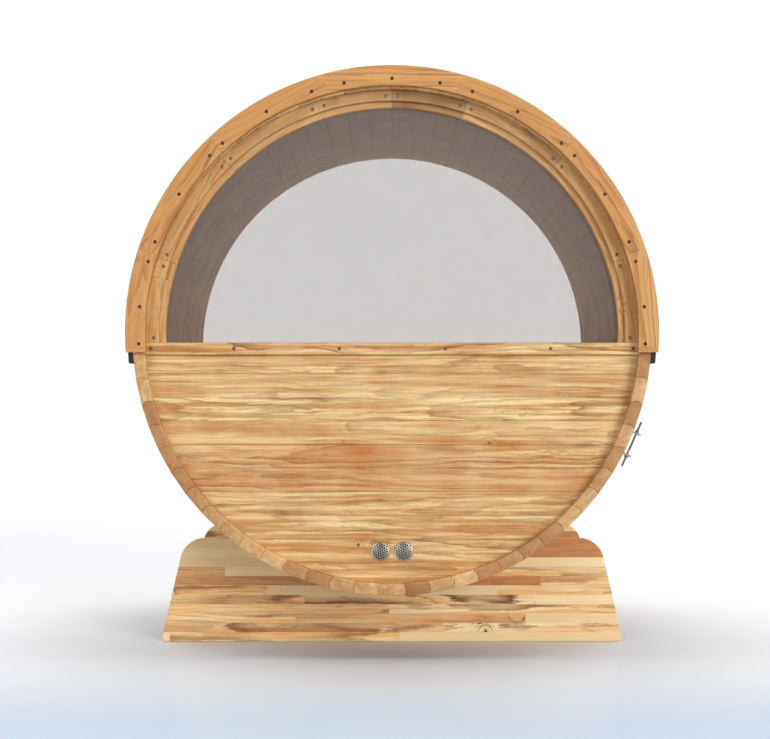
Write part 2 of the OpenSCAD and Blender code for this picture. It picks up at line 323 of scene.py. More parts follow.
def roughen(tree, shader, height, strength, distance):
    bump = addNode(tree, "ShaderNodeBump", {"Height": height, "Strength": strength,
                                            "Distance": distance})
    tree.links.new(bump.outputs[0], shader.inputs["Normal"])


# shared effects

def growthRings():
    # Rings are cylinders round a pith beside the board: phase = distance / spacing, where slow
    # and quick noise along the board bend the distance, so a flat cut shows waves and arches.
    group, given, out = newGroup("growthRings", [
        ("Place", "NodeSocketVector", None), ("Seed", "NodeSocketFloat", 0.5),
        ("Spacing", "NodeSocketFloat", 0.006), ("Wander", "NodeSocketFloat", 0.02),
        ("Feather", "NodeSocketFloat", 0.008), ("Knots", "NodeSocketFloat", 0.0)],
        [("Ring", "NodeSocketFloat"), ("Fibre", "NodeSocketFloat"), ("Tone", "NodeSocketFloat"),
         ("Figure", "NodeSocketFloat"), ("Knot", "NodeSocketFloat")])
    t = group
    seed = given.outputs["Seed"]
    own = chance(t, calc(t, "MULTIPLY", seed, 731.7), "Color")
    chances = split(t, own)
    far = vectorCalc(t, "SCALE", own, scale=40.0)
    place = vectorCalc(t, "ADD", given.outputs["Place"], far)
    slow = grainNoise(t, place, 1.1, 5.0, 1.0)
    quick = grainNoise(t, place, 5.0, 26.0, 2.0)
    feather = grainNoise(t, place, 21.0, 120.0, 4.0, 0.65)
    bend = vectorCalc(t, "SUBTRACT", slow.outputs["Color"], (0.5, 0.5, 0.5))
    ripple = vectorCalc(t, "SUBTRACT", quick.outputs["Color"], (0.5, 0.5, 0.5))
    parts = split(t, given.outputs["Place"])
    bends = split(t, bend)
    ripples = split(t, ripple)
    wander = given.outputs["Wander"]
    acrossShift = calc(t, "MULTIPLY_ADD", bends[1], wander,
                       calc(t, "MULTIPLY", ripples[1], calc(t, "MULTIPLY", wander, 0.55)))
    depthShift = calc(t, "MULTIPLY_ADD", bends[2], calc(t, "MULTIPLY", wander, 2.4),
                      calc(t, "MULTIPLY", ripples[2], calc(t, "MULTIPLY", wander, 0.60)))
    across = calc(t, "ADD", parts[1],
                  calc(t, "MULTIPLY_ADD", chances[0], 0.10, acrossShift))
    across = calc(t, "SUBTRACT", across, 0.05)
    depth = calc(t, "ADD", parts[2],
                 calc(t, "MULTIPLY_ADD", chances[1], 0.07, depthShift))
    depth = calc(t, "ADD", depth, 0.02)
    # knots: a few cells of a stretched cell pattern swell the rings round their middles
    cells = addNode(t, "ShaderNodeTexVoronoi", {"Vector": scaled(t, place, (2.2, 9.0, 2.0)),
                                                "Scale": 1.0, "Randomness": 0.8}, feature="F1")
    picked = stretch(t, split(t, cells.outputs["Color"])[0], 0.80, 0.82)
    toKnot = vectorCalc(t, "SUBTRACT", scaled(t, place, (2.2, 9.0, 2.0)), cells.outputs["Position"])
    inPlane = vectorCalc(t, "LENGTH", scaled(t, toKnot, (0.4545, 0.1111, 0.0)))
    amount = calc(t, "MULTIPLY", picked, given.outputs["Knots"])
    near = calc(t, "MULTIPLY", amount,
                calc(t, "EXPONENT", calc(t, "MULTIPLY", calc(t, "POWER", inPlane, 2.0), -1600.0)))
    knot = calc(t, "MULTIPLY", amount, stretch(t, inPlane, 0.0075, 0.0045, smooth=True))
    distance = calc(t, "SQRT", calc(t, "ADD", calc(t, "POWER", across, 2.0),
                                    calc(t, "POWER", depth, 2.0)))
    distance = calc(t, "MULTIPLY_ADD", near, 0.022, distance)
    distance = calc(t, "MULTIPLY_ADD", calc(t, "SUBTRACT", feather.outputs["Fac"], 0.5),
                    given.outputs["Feather"], distance)
    phase = calc(t, "DIVIDE", distance, given.outputs["Spacing"])
    part = calc(t, "FRACT", phase)
    late = calc(t, "MULTIPLY", stretch(t, part, 0.40, 0.90), stretch(t, part, 1.0, 0.95))
    late = calc(t, "POWER", late, 1.5)
    fine = calc(t, "FRACT", calc(t, "MULTIPLY", phase, 3.0))
    late = calc(t, "MAXIMUM", late, calc(t, "MULTIPLY", calc(t, "POWER", fine, 6.0), 0.85))
    year = chance(t, calc(t, "MULTIPLY_ADD", seed, 97.3, calc(t, "FLOOR", phase)))
    fibre = grainNoise(t, place, 9.0, 420.0, 3.0, 0.6).outputs["Fac"]
    tone = grainNoise(t, place, 1.9, 55.0, 3.0, 0.6).outputs["Fac"]
    figure = grainNoise(t, place, 3.2, 20.0, 2.0).outputs["Fac"]
    for label, value in (("Ring", calc(t, "MULTIPLY", late, stretch(t, year, 0.0, 1.0, 0.25, 1.0))),
                         ("Fibre", fibre), ("Tone", tone), ("Figure", figure), ("Knot", knot)):
        t.links.new(value, out.inputs[label])
    return group


def handling():
    # Wear: an edge mask where the surface turns sharply outwards, and a mottle from noise.
    group, _, out = newGroup("handling", [], [("Edge", "NodeSocketFloat"),
                                              ("Mottle", "NodeSocketFloat")])
    t = group
    place = objectPlace(t)
    pointiness = addNode(t, "ShaderNodeNewGeometry").outputs["Pointiness"]
    mottle = noise(t, place, 6.0, 4.0, 0.6).outputs["Fac"]
    edge = calc(t, "MULTIPLY", stretch(t, pointiness, 0.52, 0.62), stretch(t, mottle, 0.35, 0.6))
    t.links.new(edge, out.inputs["Edge"])
    t.links.new(mottle, out.inputs["Mottle"])
    return group


rings = growthRings()
wear = handling()


# materials

def woodColour(tree, place, seed, warmthAndShade, look):
    # Pale early wood, darker late wood in every ring, streaks, blush and tone on top; on the window
    # frame, warmthAndShade carries painted shade, darker towards the crown.
    given = {name: look[name.lower()] for name in ("Spacing", "Wander", "Feather", "Knots")}
    o = addNode(tree, "ShaderNodeGroup", {"Place": place, "Seed": seed, **given},
                node_tree=rings).outputs
    strong = calc(tree, "MULTIPLY", o["Ring"],
                  stretch(tree, o["Figure"], 0.42, 0.56, look["calm"], look["strong"]))
    ground = blendColour(tree, stretch(tree, o["Tone"], 0.42, 0.60, 0.5 - look["mottle"] / 2,
                                       0.5 + look["mottle"] / 2), look["honey"], look["pale"])
    boardTone = chance(tree, calc(tree, "MULTIPLY", seed, 311.1))
    deeper = stretch(tree, boardTone, look["plain"], look["full"], 0.0, look["variety"])
    ground = blendColour(tree, deeper, ground, look["amber"])
    blush = noise(tree, vectorCalc(tree, "ADD", scaled(tree, place, (1.3, 9.0, 9.0)),
                                   combine(tree, calc(tree, "MULTIPLY", seed, 57.0), 3.0, 5.0)),
                  1.0, 2.0).outputs["Fac"]
    # rosyAndShade: the wood's warm blush, and on the window frame painted shade towards frameLook's rosy
    # brown
    rosyAndShade = calc(tree, "MULTIPLY_ADD", warmthAndShade, stretch(tree, blush, 0.30, 0.62, 0.25, 1.0),
               stretch(tree, blush, 0.56, 0.74, 0.0, look["blush"]), clamp=True)
    ground = blendColour(tree, rosyAndShade, ground, look["rosy"])
    colour = blendColour(tree, strong, ground, look["dark"])
    hairs = noise(tree, vectorCalc(tree, "ADD", scaled(tree, place, (5.0, 300.0, 300.0)),
                                   combine(tree, calc(tree, "MULTIPLY", seed, 91.0), 0.0, 0.0)),
                  1.0, 4.0, 0.7).outputs["Fac"]
    colour = blendColour(tree, stretch(tree, hairs, 0.56, 0.72, 0.0, look["hair"]), colour,
                         look["dark"])
    streak = stretch(tree, o["Fibre"], 0.3, 0.7, 1.0 - look["streak"], 1.0 + look["streak"])
    colour = blendColour(tree, 1.0, colour, combine(tree, streak, streak, streak), "MULTIPLY")
    colour = blendColour(tree, o["Knot"], colour, look["knotColour"])
    height = calc(tree, "MULTIPLY_ADD", o["Fibre"], 0.7, calc(tree, "MULTIPLY", strong, -0.5))
    return colour, height, strong


def finishWood(tree, shader, colour, height, strong, look):
    marks = addNode(tree, "ShaderNodeGroup", node_tree=wear)
    colour = blendColour(tree, calc(tree, "MULTIPLY", marks.outputs["Edge"], 0.35), colour,
                         look["pale"])
    tree.links.new(colour, shader.inputs["Base Color"])
    rough = stretch(tree, marks.outputs["Mottle"], 0.3, 0.7, look["rough"] - 0.06,
                    look["rough"] + 0.08)
    tree.links.new(calc(tree, "MULTIPLY_ADD", strong, -0.08, rough), shader.inputs["Roughness"])
    roughen(tree, shader, height, 0.35, 0.0006)
    shader.inputs["Specular IOR Level"].default_value = 0.35


def insideRoom(tree):
    # Mask of the round inner faces between the two ends, where the staves get painted shade: distance
    # from the barrel's axis is no more than the staves' inner radius, and Y lies between the board wall
    # and the glass.
    place = objectPlace(tree)
    x, y, z = split(tree, place)
    fromAxis = vectorCalc(tree, "LENGTH", combine(tree, x, calc(tree, "SUBTRACT", z, axisZ), 0.0))
    innerFace = stretch(tree, fromAxis, innerR + 0.0022, innerR + 0.0012)
    ends = calc(tree, "MULTIPLY", stretch(tree, y, wallHigh[1], wallHigh[1] + 0.002),
                stretch(tree, y, glassLow[1], glassLow[1] - 0.002))
    return calc(tree, "MULTIPLY", innerFace, ends)


def woodMaterial(name, look, shadedInside=False):
    material, tree, shader = newMaterial(name)
    place = ownValue(tree, "grain", "Vector")
    seed = ownValue(tree, "board")
    warmthAndShade = ownValue(tree, "warmthAndShade")
    colour, height, strong = woodColour(tree, place, seed, warmthAndShade, look)
    if shadedInside:
        # painted shade: inside the round room the staves' inner faces are evened towards honey and
        # multiplied darker by insideShade, as that room lies in shade
        inside = insideRoom(tree)
        colour = blendColour(tree, calc(tree, "MULTIPLY", inside, look["even"]), colour,
                             look["honey"])
        colour = blendColour(tree, inside, colour, look["insideShade"], "MULTIPLY")
    finishWood(tree, shader, colour, height, strong, look)
    return material


boardLook = dict(pale=srgb(255, 225, 164), honey=srgb(206, 144, 76), amber=srgb(204, 138, 70),
                 rosy=srgb(206, 122, 62), dark=srgb(134, 76, 26), knotColour=srgb(96, 44, 16),
                 spacing=0.0150, wander=0.048, feather=0.0075, knots=0.9, calm=0.55, strong=1.0,
                 mottle=1.0, plain=0.0, full=1.0, variety=0.35, blush=0.45, streak=0.12, hair=0.80,
                 rough=0.48)
# insideShade and even paint shade on the staves' inner faces inside the room: darker and evener
staveLook = dict(boardLook, pale=srgb(255, 218, 158), honey=srgb(222, 168, 104),
                 amber=srgb(172, 108, 56), spacing=0.0075,
                 wander=0.012, feather=0.0016, calm=0.55, strong=1.0, mottle=0.6, variety=1.0,
                 blush=0.45, streak=0.12, hair=0.45, dark=srgb(124, 68, 26), knots=0.0,
                 insideShade=(0.53, 0.48, 0.475, 1.0), even=0.55)
# The frame's rosy brown is painted shade: the crown boards blend towards it, darker towards the crown.
frameLook = dict(boardLook, pale=srgb(243, 202, 140), honey=srgb(220, 162, 98),
                 rosy=srgb(132, 92, 54), spacing=0.0120, wander=0.034, feather=0.009, calm=0.35,
                 strong=1.0, variety=0.5, blush=0.1, knots=0.5, hair=0.40)
fasciaLook = dict(boardLook, pale=srgb(226, 172, 106), honey=srgb(211, 151, 88),
                  amber=srgb(204, 138, 76), dark=srgb(150, 88, 38), spacing=0.0150,
                  wander=0.045, feather=0.0030, calm=0.50, strong=1.0, mottle=0.8, variety=0.5,
                  knots=0.0, blush=0.45, streak=0.08, hair=0.22)
gripLook = dict(frameLook, spacing=0.005, knots=0.0)
boardWood = woodMaterial("boardWood", boardLook)
staveWood = woodMaterial("staveWood", staveLook, shadedInside=True)
frameWood = woodMaterial("frameWood", frameLook)
fasciaWood = woodMaterial("fasciaWood", fasciaLook)
gripWood = woodMaterial("gripWood", gripLook)

cradleLook = dict(boardLook, pale=srgb(255, 228, 176), honey=srgb(248, 190, 118),
                  amber=srgb(204, 130, 68), rosy=srgb(226, 144, 82), dark=srgb(132, 68, 24),
                  spacing=0.0110, wander=0.016, feather=0.003, calm=0.36, strong=1.0, mottle=0.9,
                  plain=0.42, full=0.66, variety=0.95, streak=0.12, hair=0.85, knots=1.0, rough=0.5,
                  stripHeight=0.035, stripLength=0.86, fingers=0.010)


def laminatedMaterial(name, look):
    # Rows of strips glued edge to edge; each row is cut into lengths by finger joints.
    material, tree, shader = newMaterial(name)
    place = objectPlace(tree)
    x, y, z = split(tree, place)
    rowPlace = calc(tree, "DIVIDE", z, look["stripHeight"])
    side = calc(tree, "MULTIPLY", calc(tree, "SIGN", y), 57.0)        # each cradle its own boards
    row = calc(tree, "ADD", calc(tree, "FLOOR", rowPlace), side)
    rowChance = chance(tree, row)
    zigzag = calc(tree, "PINGPONG", z, look["fingers"] / 2)
    lengthPlace = calc(tree, "ADD", calc(tree, "DIVIDE", calc(tree, "ADD", x, zigzag),
                                         look["stripLength"]),
                       calc(tree, "MULTIPLY", rowChance, 7.3))
    length = calc(tree, "FLOOR", lengthPlace)
    pick = addNode(tree, "ShaderNodeTexWhiteNoise",
                   {"Vector": combine(tree, row, length, 0.0)}, noise_dimensions="3D")
    seed = pick.outputs["Value"]
    mid = calc(tree, "MULTIPLY", calc(tree, "SUBTRACT", calc(tree, "FRACT", rowPlace), 0.5),
               look["stripHeight"])
    own = combine(tree, calc(tree, "MULTIPLY_ADD", seed, 11.0, x), mid, y)
    lighter = split(tree, pick.outputs["Color"])[1]
    colour, height, strong = woodColour(tree, own, seed, 0.0, look)
    inRow = calc(tree, "ABSOLUTE", calc(tree, "SUBTRACT", calc(tree, "FRACT", rowPlace), 0.5))
    colour = blendColour(tree, stretch(tree, lighter, 0.60, 0.66, 0.0, 0.78), colour, look["pale"])
    glue = stretch(tree, inRow, 0.475, 0.5, smooth=True)
    colour = blendColour(tree, calc(tree, "MULTIPLY", glue, 0.30), colour, look["pale"])
    finishWood(tree, shader, colour, height, strong, look)
    return material


cradleWood = laminatedMaterial("cradleWood", cradleLook)


def steelMaterial(name, colour, rough, brushed):
    # Brushed steel: stretched noise varies the roughness and scratches the surface.
    material, tree, shader = newMaterial(name)
    place = objectPlace(tree)
    lines = noise(tree, scaled(tree, place, brushed), 1.0, 3.0, 0.6).outputs["Fac"]
    blot = noise(tree, place, 9.0, 3.0).outputs["Fac"]
    dull = blendColour(tree, stretch(tree, blot, 0.35, 0.7), colour,
                       tuple(c * 0.78 for c in colour[:3]) + (1.0,))
    tree.links.new(dull, shader.inputs["Base Color"])
    tree.links.new(stretch(tree, lines, 0.3, 0.7, rough - 0.08, rough + 0.12),
                   shader.inputs["Roughness"])
    roughen(tree, shader, lines, 0.15, 0.0002)
    shader.inputs["Metallic"].default_value = 1.0
    return material


ventSteel = steelMaterial("ventSteel", srgb(200, 185, 166), 0.30, (300, 300, 300))
hoopSteel = steelMaterial("hoopSteel", srgb(178, 178, 176), 0.32, (60, 900, 60))
screwSteel = steelMaterial("screwSteel", srgb(128, 126, 126), 0.30, (500, 500, 500))
darkSteel = steelMaterial("darkSteel", srgb(84, 78, 74), 0.38, (500, 500, 500))


def shingleMaterial():
    # Mineral granules: a fine cell pattern gives each grain its own grey, its bump and sparkle.
    material, tree, shader = newMaterial("roofBitumen")
    place = objectPlace(tree)
    grains = addNode(tree, "ShaderNodeTexVoronoi", {"Vector": place, "Scale": 620.0}, feature="F1")
    grey = split(tree, grains.outputs["Color"])[0]
    fade = noise(tree, place, 2.6, 4.0, 0.6).outputs["Fac"]
    colour = blendColour(tree, stretch(tree, grey, 0.2, 1.0), srgb(22, 22, 24), srgb(66, 66, 70))
    tint = ownValue(tree, "board")
    colour = blendColour(tree, calc(tree, "MULTIPLY", tint, 0.35), colour, srgb(84, 82, 82))
    colour = blendColour(tree, stretch(tree, fade, 0.5, 0.8, 0.0, 0.3), colour, srgb(96, 94, 92))
    tree.links.new(colour, shader.inputs["Base Color"])
    tree.links.new(stretch(tree, grey, 0.0, 1.0, 0.72, 0.95), shader.inputs["Roughness"])
    roughen(tree, shader, grains.outputs["Distance"], 0.6, 0.0012)
    return material


def blackTrimMaterial():
    material, tree, shader = newMaterial("eaveBlack")
    place = objectPlace(tree)
    dust = noise(tree, place, 14.0, 4.0, 0.65).outputs["Fac"]
    tree.links.new(blendColour(tree, stretch(tree, dust, 0.5, 0.8, 0.0, 0.20), srgb(7, 7, 8),
                               srgb(34, 33, 32)), shader.inputs["Base Color"])
    tree.links.new(stretch(tree, dust, 0.3, 0.7, 0.42, 0.6), shader.inputs["Roughness"])
    return material


def screenMaterial():
    # Fine woven wire: a square cell pattern darkens the gaps between the wires.
    material, tree, shader = newMaterial("screenCloth")
    place = objectPlace(tree)
    x, _, z = split(tree, place)
    wires = [calc(tree, "PINGPONG", calc(tree, "MULTIPLY", v, 900.0), 1.0) for v in (x, z)]
    gap = calc(tree, "MULTIPLY", *wires)
    tree.links.new(blendColour(tree, gap, srgb(26, 24, 22), srgb(6, 6, 6)),
                   shader.inputs["Base Color"])
    roughen(tree, shader, gap, 0.4, 0.0003)
    shader.inputs["Roughness"].default_value = 0.7
    return material


def glassMaterial(name, colour, cover, smear):
    # A pane is a thin veil: cover is how much of what lies behind it hides.
    material, tree, shader = newMaterial(name)
    shader.inputs["Base Color"].default_value = colour
    shader.inputs["Alpha"].default_value = cover
    place = objectPlace(tree)
    marks = noise(tree, place, 5.0, 5.0, 0.7).outputs["Fac"]
    tree.links.new(stretch(tree, marks, 0.40, 0.75, 0.02, smear), shader.inputs["Roughness"])
    return material


roofBitumen = shingleMaterial()
eaveBlack = blackTrimMaterial()
screenCloth = screenMaterial()
tintedGlass = glassMaterial("tintedGlass", srgb(142, 131, 124), 0.262, 0.06)
clearGlass = glassMaterial("clearGlass", srgb(196, 208, 206), 0.05, 0.05)
print("materials made")


# barrel of staves

staves = dict(count=65, thickness=staveThickness, gap=0.0007, beadRise=0.0060, shoulder=0.0035,
              faceBevel=0.0012, endBevel=0.0016)


def edgeArc(kind, steps=8):
    # Side edge of a stave from inside to outside, as radius and rise: rise(r) is a circular
    # cap over the thickness, outwards for a bead, inwards for a cove, none for a flat edge.
    s = staves
    chord = s["thickness"] - 2 * s["shoulder"]
    capR = (chord ** 2 / 4 + s["beadRise"] ** 2) / (2 * s["beadRise"])
    x = np.linspace(-chord / 2, chord / 2, steps)
    rise = np.sqrt(capR ** 2 - x ** 2) - (capR - s["beadRise"])
    r = np.concatenate([[innerR + s["faceBevel"]], innerR + s["thickness"] / 2 + x,
                        [barrelR - s["faceBevel"]]])
    rise = np.concatenate([[0], rise, [0]])
    return r, {"bead": rise, "cove": rise, "flat": 0 * rise}[kind]


def staveBoard(index):
    # A flat-faced stave: corners lie on rays half a pitch away, its edges carry the bead and
    # cove, and both ends are drawn in a little for the end bevel.
    s = staves
    pitch = tau / s["count"]
    middle = math.radians(270) + index * pitch
    half = (s["count"] - 1) // 2
    up = "flat" if abs(index) == half else "bead"
    low = "bead" if index == 0 else "cove"
    kinds = (low, up) if index >= 0 else (up, low)       # towards lower and higher angle

    def side(kind, sign):
        r, rise = edgeArc(kind)
        outward = 1 if kind == "bead" else -1
        t = r * math.tan(pitch / 2) - s["gap"] / 2 + outward * rise
        return np.stack([sign * t, r], 1)

    right, left = side(kinds[1], 1), side(kinds[0], -1)
    bevel = s["faceBevel"]
    outer = barrelR * math.cos(pitch / 2)
    inner = innerR
    loop = np.concatenate([
        right, [[right[-1, 0] - bevel, outer + 0.0002], [left[-1, 0] + bevel, outer + 0.0002]],
        left[::-1], [[left[0, 0] + bevel, inner], [right[0, 0] - bevel, inner]]])
    loop[:, 1] = np.minimum(loop[:, 1], barrelR - 0.0003)
    middleR = (barrelR + innerR) / 2
    drawn = (loop - [0, middleR]) * [0.97, 0.90] + [0, middleR]
    y = np.array([endY, endY + s["endBevel"], frontY - s["endBevel"], frontY])
    across = np.tile([-math.sin(middle), 0, math.cos(middle)], (4, 1))
    outwards = np.tile([math.cos(middle), 0, math.sin(middle)], (4, 1))
    origin = np.stack([0 * y, y, 0 * y + axisZ], 1)
    verts, faces = sweep(np.stack([drawn, loop, loop, drawn]), origin, across, outwards)
    grain = intoBoard(verts, xz(middle, middleR, 0.0), (0, 1, 0), across[0])
    return verts, faces, grain, random.random()


perSegment = staves["count"] // len(segmentNames)
firstStave = -(perSegment // 2)
for number, node in enumerate(segmentNames):
    indices = firstStave + number * perSegment + np.arange(perSegment)
    indices = np.where(indices > staves["count"] // 2, indices - staves["count"], indices)
    woodPiece("staves_%d" % (number + 1), [staveBoard(int(i)) for i in indices], staveWood,
              [node], smooth=40)
print("staves made")


# board wall and sill rail

boards = dict(pitch=0.0824, firstJoint=0.129, gap=0.0006, bevel=0.0016, housed=0.006,
              rosy=(4, 5), rosyAmount=0.55)
wallTop = wallHigh[2]
wallDepth = wallHigh[1] - wallLow[1]
vents = dict(bore=0.029, sides=48)
ventBoxes = {name: np.array(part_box(name)) for name in ("vent_cover_left", "vent_cover_right")}
ventPlaces = {name: (b[0] + b[1]) / 2 for name, b in ventBoxes.items()}


def wallBoard(low, high):
    # A board's section (through the wall, up) carried along X; each point of it runs out to
    # the staves: x = sqrt(R^2 - z^2).
    b = boards
    bevel = b["bevel"]
    section = np.array([(0, low + bevel), (0, high - bevel), (bevel, high), (wallDepth, high),
                        (wallDepth, low), (bevel, low)])
    steps = 5
    middle = np.linspace(0, 1, steps)[:, None]
    z = section[0, 1] * (1 - middle) + section[1, 1] * middle
    section = np.concatenate([np.concatenate([0 * z, z], 1), section[2:]])
    reach = np.sqrt((innerR + b["housed"]) ** 2 - (section[:, 1] - axisZ) ** 2)
    y = wallLow[1] + section[:, 0]
    across = np.array([-1.0, 1.0])
    verts = np.stack([across[:, None] * reach, np.tile(y, (2, 1)), np.tile(section[:, 1], (2, 1))], -1)
    return tube(verts, 2, len(section))


def wallBoards():
    b = boards
    joints = [wallTop] + [axisZ - b["firstJoint"] - k * b["pitch"] for k in range(9)]
    joints.append(axisZ - innerR - b["housed"] / 2)
    made = []
    for number, (high, low) in enumerate(zip(joints, joints[1:])):
        part = wallBoard(low + b["gap"] / 2, high - b["gap"] / 2)
        bores = [lathe([(vents["bore"], -0.1), (vents["bore"], 0.1)], vents["sides"], p, (0, 1, 0))
                 for p in ventPlaces.values() if low - vents["bore"] < p[2] < high + vents["bore"]]
        if bores:
            part = cutHoles(part, bores)
        grain = intoBoard(part[0], (0, wallLow[1], (low + high) / 2), (1, 0, 0), (0, 0, 1))
        made.append((*part, grain, random.random(),
                     b["rosyAmount"] if number in b["rosy"] else 0.0))
    return made


woodPiece("wall_boards", wallBoards(), boardWood, ["end_wall"], smooth=25)

screws = dict(headR=0.0056, headRise=0.0020, sunk=0.0033, skirt=0.0012, sides=20,
              recessR=0.0062, recess=0.0045, mouthR=0.006944, mouth=0.0009, above=0.004,
              recessSides=28)


def screwHead(place, axis, radius, rise, socket=True):
    # Domed head: height(r) = rise * sqrt(1 - (r/R)^2), with a round socket sunk in the middle.
    turn = np.linspace(0, math.radians(72), 5)
    dome = [(radius * math.cos(t), rise * math.sin(t)) for t in turn]
    profile = [(radius * 0.98, -screws["skirt"])] + dome
    if socket:
        profile = profile[:-1] + [(radius * 0.42, rise * 0.96), (radius * 0.36, rise * 0.90),
                                  (radius * 0.33, rise * 0.1)]
    return lathe(profile, screws["sides"], place, axis)


def recessCutter(place, axis):
    s = screws
    return lathe([(s["recessR"], -s["recess"]), (s["recessR"], 0.0), (s["mouthR"], s["mouth"]),
                  (s["mouthR"], s["above"])], s["recessSides"], place, axis)


def sunkScrew(place, axis):
    inward = np.array(place) - np.array(axis, float) * screws["sunk"]
    return screwHead(inward, axis, screws["headR"], screws["headRise"])


rail = dict(bevel=0.0050, screwAt=[-0.839, -0.550, -0.183, 0.186, 0.552, 0.839], housed=0.0008)


def sillRail():
    # Bevelled section carried along X, its ends on the staves: x = sqrt(R^2 - z^2).
    low, high = railLow[2], railHigh[2]
    depth = railHigh[1] - railLow[1]
    bevel = rail["bevel"]
    section = np.array([(0, low + bevel), (0, high - bevel), (bevel * 0.3, high - bevel * 0.3),
                        (bevel, high), (depth, high), (depth, low), (bevel, low),
                        (bevel * 0.3, low + bevel * 0.3)])
    reach = np.sqrt((innerR + rail["housed"]) ** 2 - (section[:, 1] - axisZ) ** 2)
    verts = np.stack([np.stack([s * reach, railLow[1] + section[:, 0], section[:, 1]], 1)
                      for s in (-1, 1)])
    part = tube(verts, 2, len(section))
    places = [(x, railLow[1], (low + high) / 2) for x in rail["screwAt"]]
    part = cutHoles(part, [recessCutter(p, (0, -1, 0)) for p in places])
    grain = intoBoard(part[0], (0, railLow[1], (low + high) / 2), (1, 0, 0), (0, 0, 1))
    woodPiece("rail", [(*part, grain, 0.31)], boardWood, ["sill_rail"], smooth=25)
    partsPiece("rail_screws", [sunkScrew(p, (0, -1, 0)) for p in places], screwSteel,
               smooth=50)


sillRail()
print("board wall made")


# window frame

# crownShade is how far the crown boards take the painted shade of the frame's rosy brown
window = dict(rise=0.009, innerR=0.7895, tier=0.0215, joints=(18, 46, 72, 90, 108, 134, 162),
              extraJoint=166.4, gap=0.0009, soften=0.0022, screwR=0.829, screwTurn=1.45,
              screwRise=0.0022, headR=0.0062, lowScrew=0.017, steps=1.5, housed=0.0008,
              crownShade=0.85)


def outerReach(angle, radius, rise):
    # Distance from the lifted centre to the circle round the barrel's axis, along an angle.
    c = rise * np.sin(angle)
    return -c + np.sqrt(radius ** 2 - rise ** 2 + c ** 2)


def frameSegment(start, end):
    # Two-tier section carried round the lifted centre; its outer points stay on the staves.
    w = window
    soft = w["soften"]
    face, step, back = frameLow[1], wallLow[1], frameHigh[1]
    inner, tier = w["innerR"], w["innerR"] + w["tier"]
    count = max(3, int((end - start) / w["steps"]) + 1)
    angle = np.radians(np.linspace(start, end, count))
    outer = outerReach(angle, innerR + w["housed"], w["rise"])
    fixed = [(inner + soft, step), (tier - 0.0005, step), (tier, step - 0.0012),
             (tier + 0.0002, face + soft * 2), (tier + soft, face)]
    rows = [np.stack([np.full(count, r), np.full(count, y)], 1) for r, y in fixed]
    rows += [np.stack([outer - soft * 0.5, np.full(count, face)], 1),
             np.stack([outer, np.full(count, face + soft * 0.5)], 1),
             np.stack([outer, np.full(count, back)], 1),
             np.stack([np.full(count, inner + soft), np.full(count, back)], 1),
             np.stack([np.full(count, inner), np.full(count, back - soft)], 1),
             np.stack([np.full(count, inner), np.full(count, step + soft)], 1)]
    section = np.stack(rows, 1)                                   # (count, points, (r, y))
    verts = np.stack([section[..., 0] * np.cos(angle)[:, None], section[..., 1],
                      axisZ + w["rise"] + section[..., 0] * np.sin(angle)[:, None]], -1)
    return tube(verts, *section.shape[:2])


def frameBoard(start, end, trimLow=None):
    part = frameSegment(start, end)
    if trimLow is not None:                          # ends that stand on the sill are level
        part[0][:, 2] = np.maximum(part[0][:, 2], trimLow)
    mid = math.radians((start + end) / 2)
    grain = arcGrain(part[0], mid, window["innerR"], frameLow[1], window["rise"])
    depth = window["crownShade"] * max(0.0, math.sin(mid)) ** 3      # painted shade: the boards darken towards the crown, where the fascia shades the frame
    return (*part, grain, random.random(), depth)


def windowFrame():
    w = window
    gap = math.degrees(w["gap"] / w["innerR"])
    foot = -math.degrees(math.asin((axisZ + w["rise"] - railHigh[2]) / innerR)) - 1.0
    ends = [foot, *w["joints"], 180 - foot]
    for number, (a, b) in enumerate(zip(ends, ends[1:])):
        a, b = a + gap / 2, b - gap / 2
        low = railHigh[2] + 0.0003 if number in (0, len(ends) - 2) else None
        spans = [(a, b)]
        if a < w["extraJoint"] < b:
            spans = [(a, w["extraJoint"] - gap / 2), (w["extraJoint"] + gap / 2, b)]
        woodPiece("frame_%d" % (number + 1), [frameBoard(*s, low) for s in spans], frameWood,
                  ["window_frame_%d" % (number + 1)], smooth=30)
    spots = [j + s * w["screwTurn"] for j in w["joints"] for s in (-1, 1)]
    low = -math.degrees(math.asin((w["rise"] + axisZ - railHigh[2] - w["lowScrew"]) / w["screwR"]))
    places = [xz(math.radians(a), w["screwR"], frameLow[1], w["rise"])
              for a in spots + [low, 180 - low]]
    heads = [screwHead(p, (0, -1, 0), w["headR"], w["screwRise"]) for p in places]
    partsPiece("frame_screws", heads, screwSteel, smooth=50)


windowFrame()
print("window frame made")


# fascia arches

fasciaBoxes = np.array([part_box("fascia_board_%d" % k) for k in range(1, 8)])
fasciaLow, fasciaHigh = fasciaBoxes[:, 0].min(0), fasciaBoxes[:, 1].max(0)
fascia = dict(rise=0.014, outerR=(fasciaHigh[0] - fasciaLow[0]) / 2, width=0.070, soften=0.0035,
              joints=(18.2, 46.6, 74.7, 105.3, 133.4, 161.8), gap=0.0005, foot=0.0165,
              footGap=0.0002, clear=0.008, screwR=0.875, steps=1.5,
              screwsAt=(-2.7, 5.7, 16.1, 20.8, 32.9, 44.0, 48.1, 60.3, 71.5, 79.1, 90))


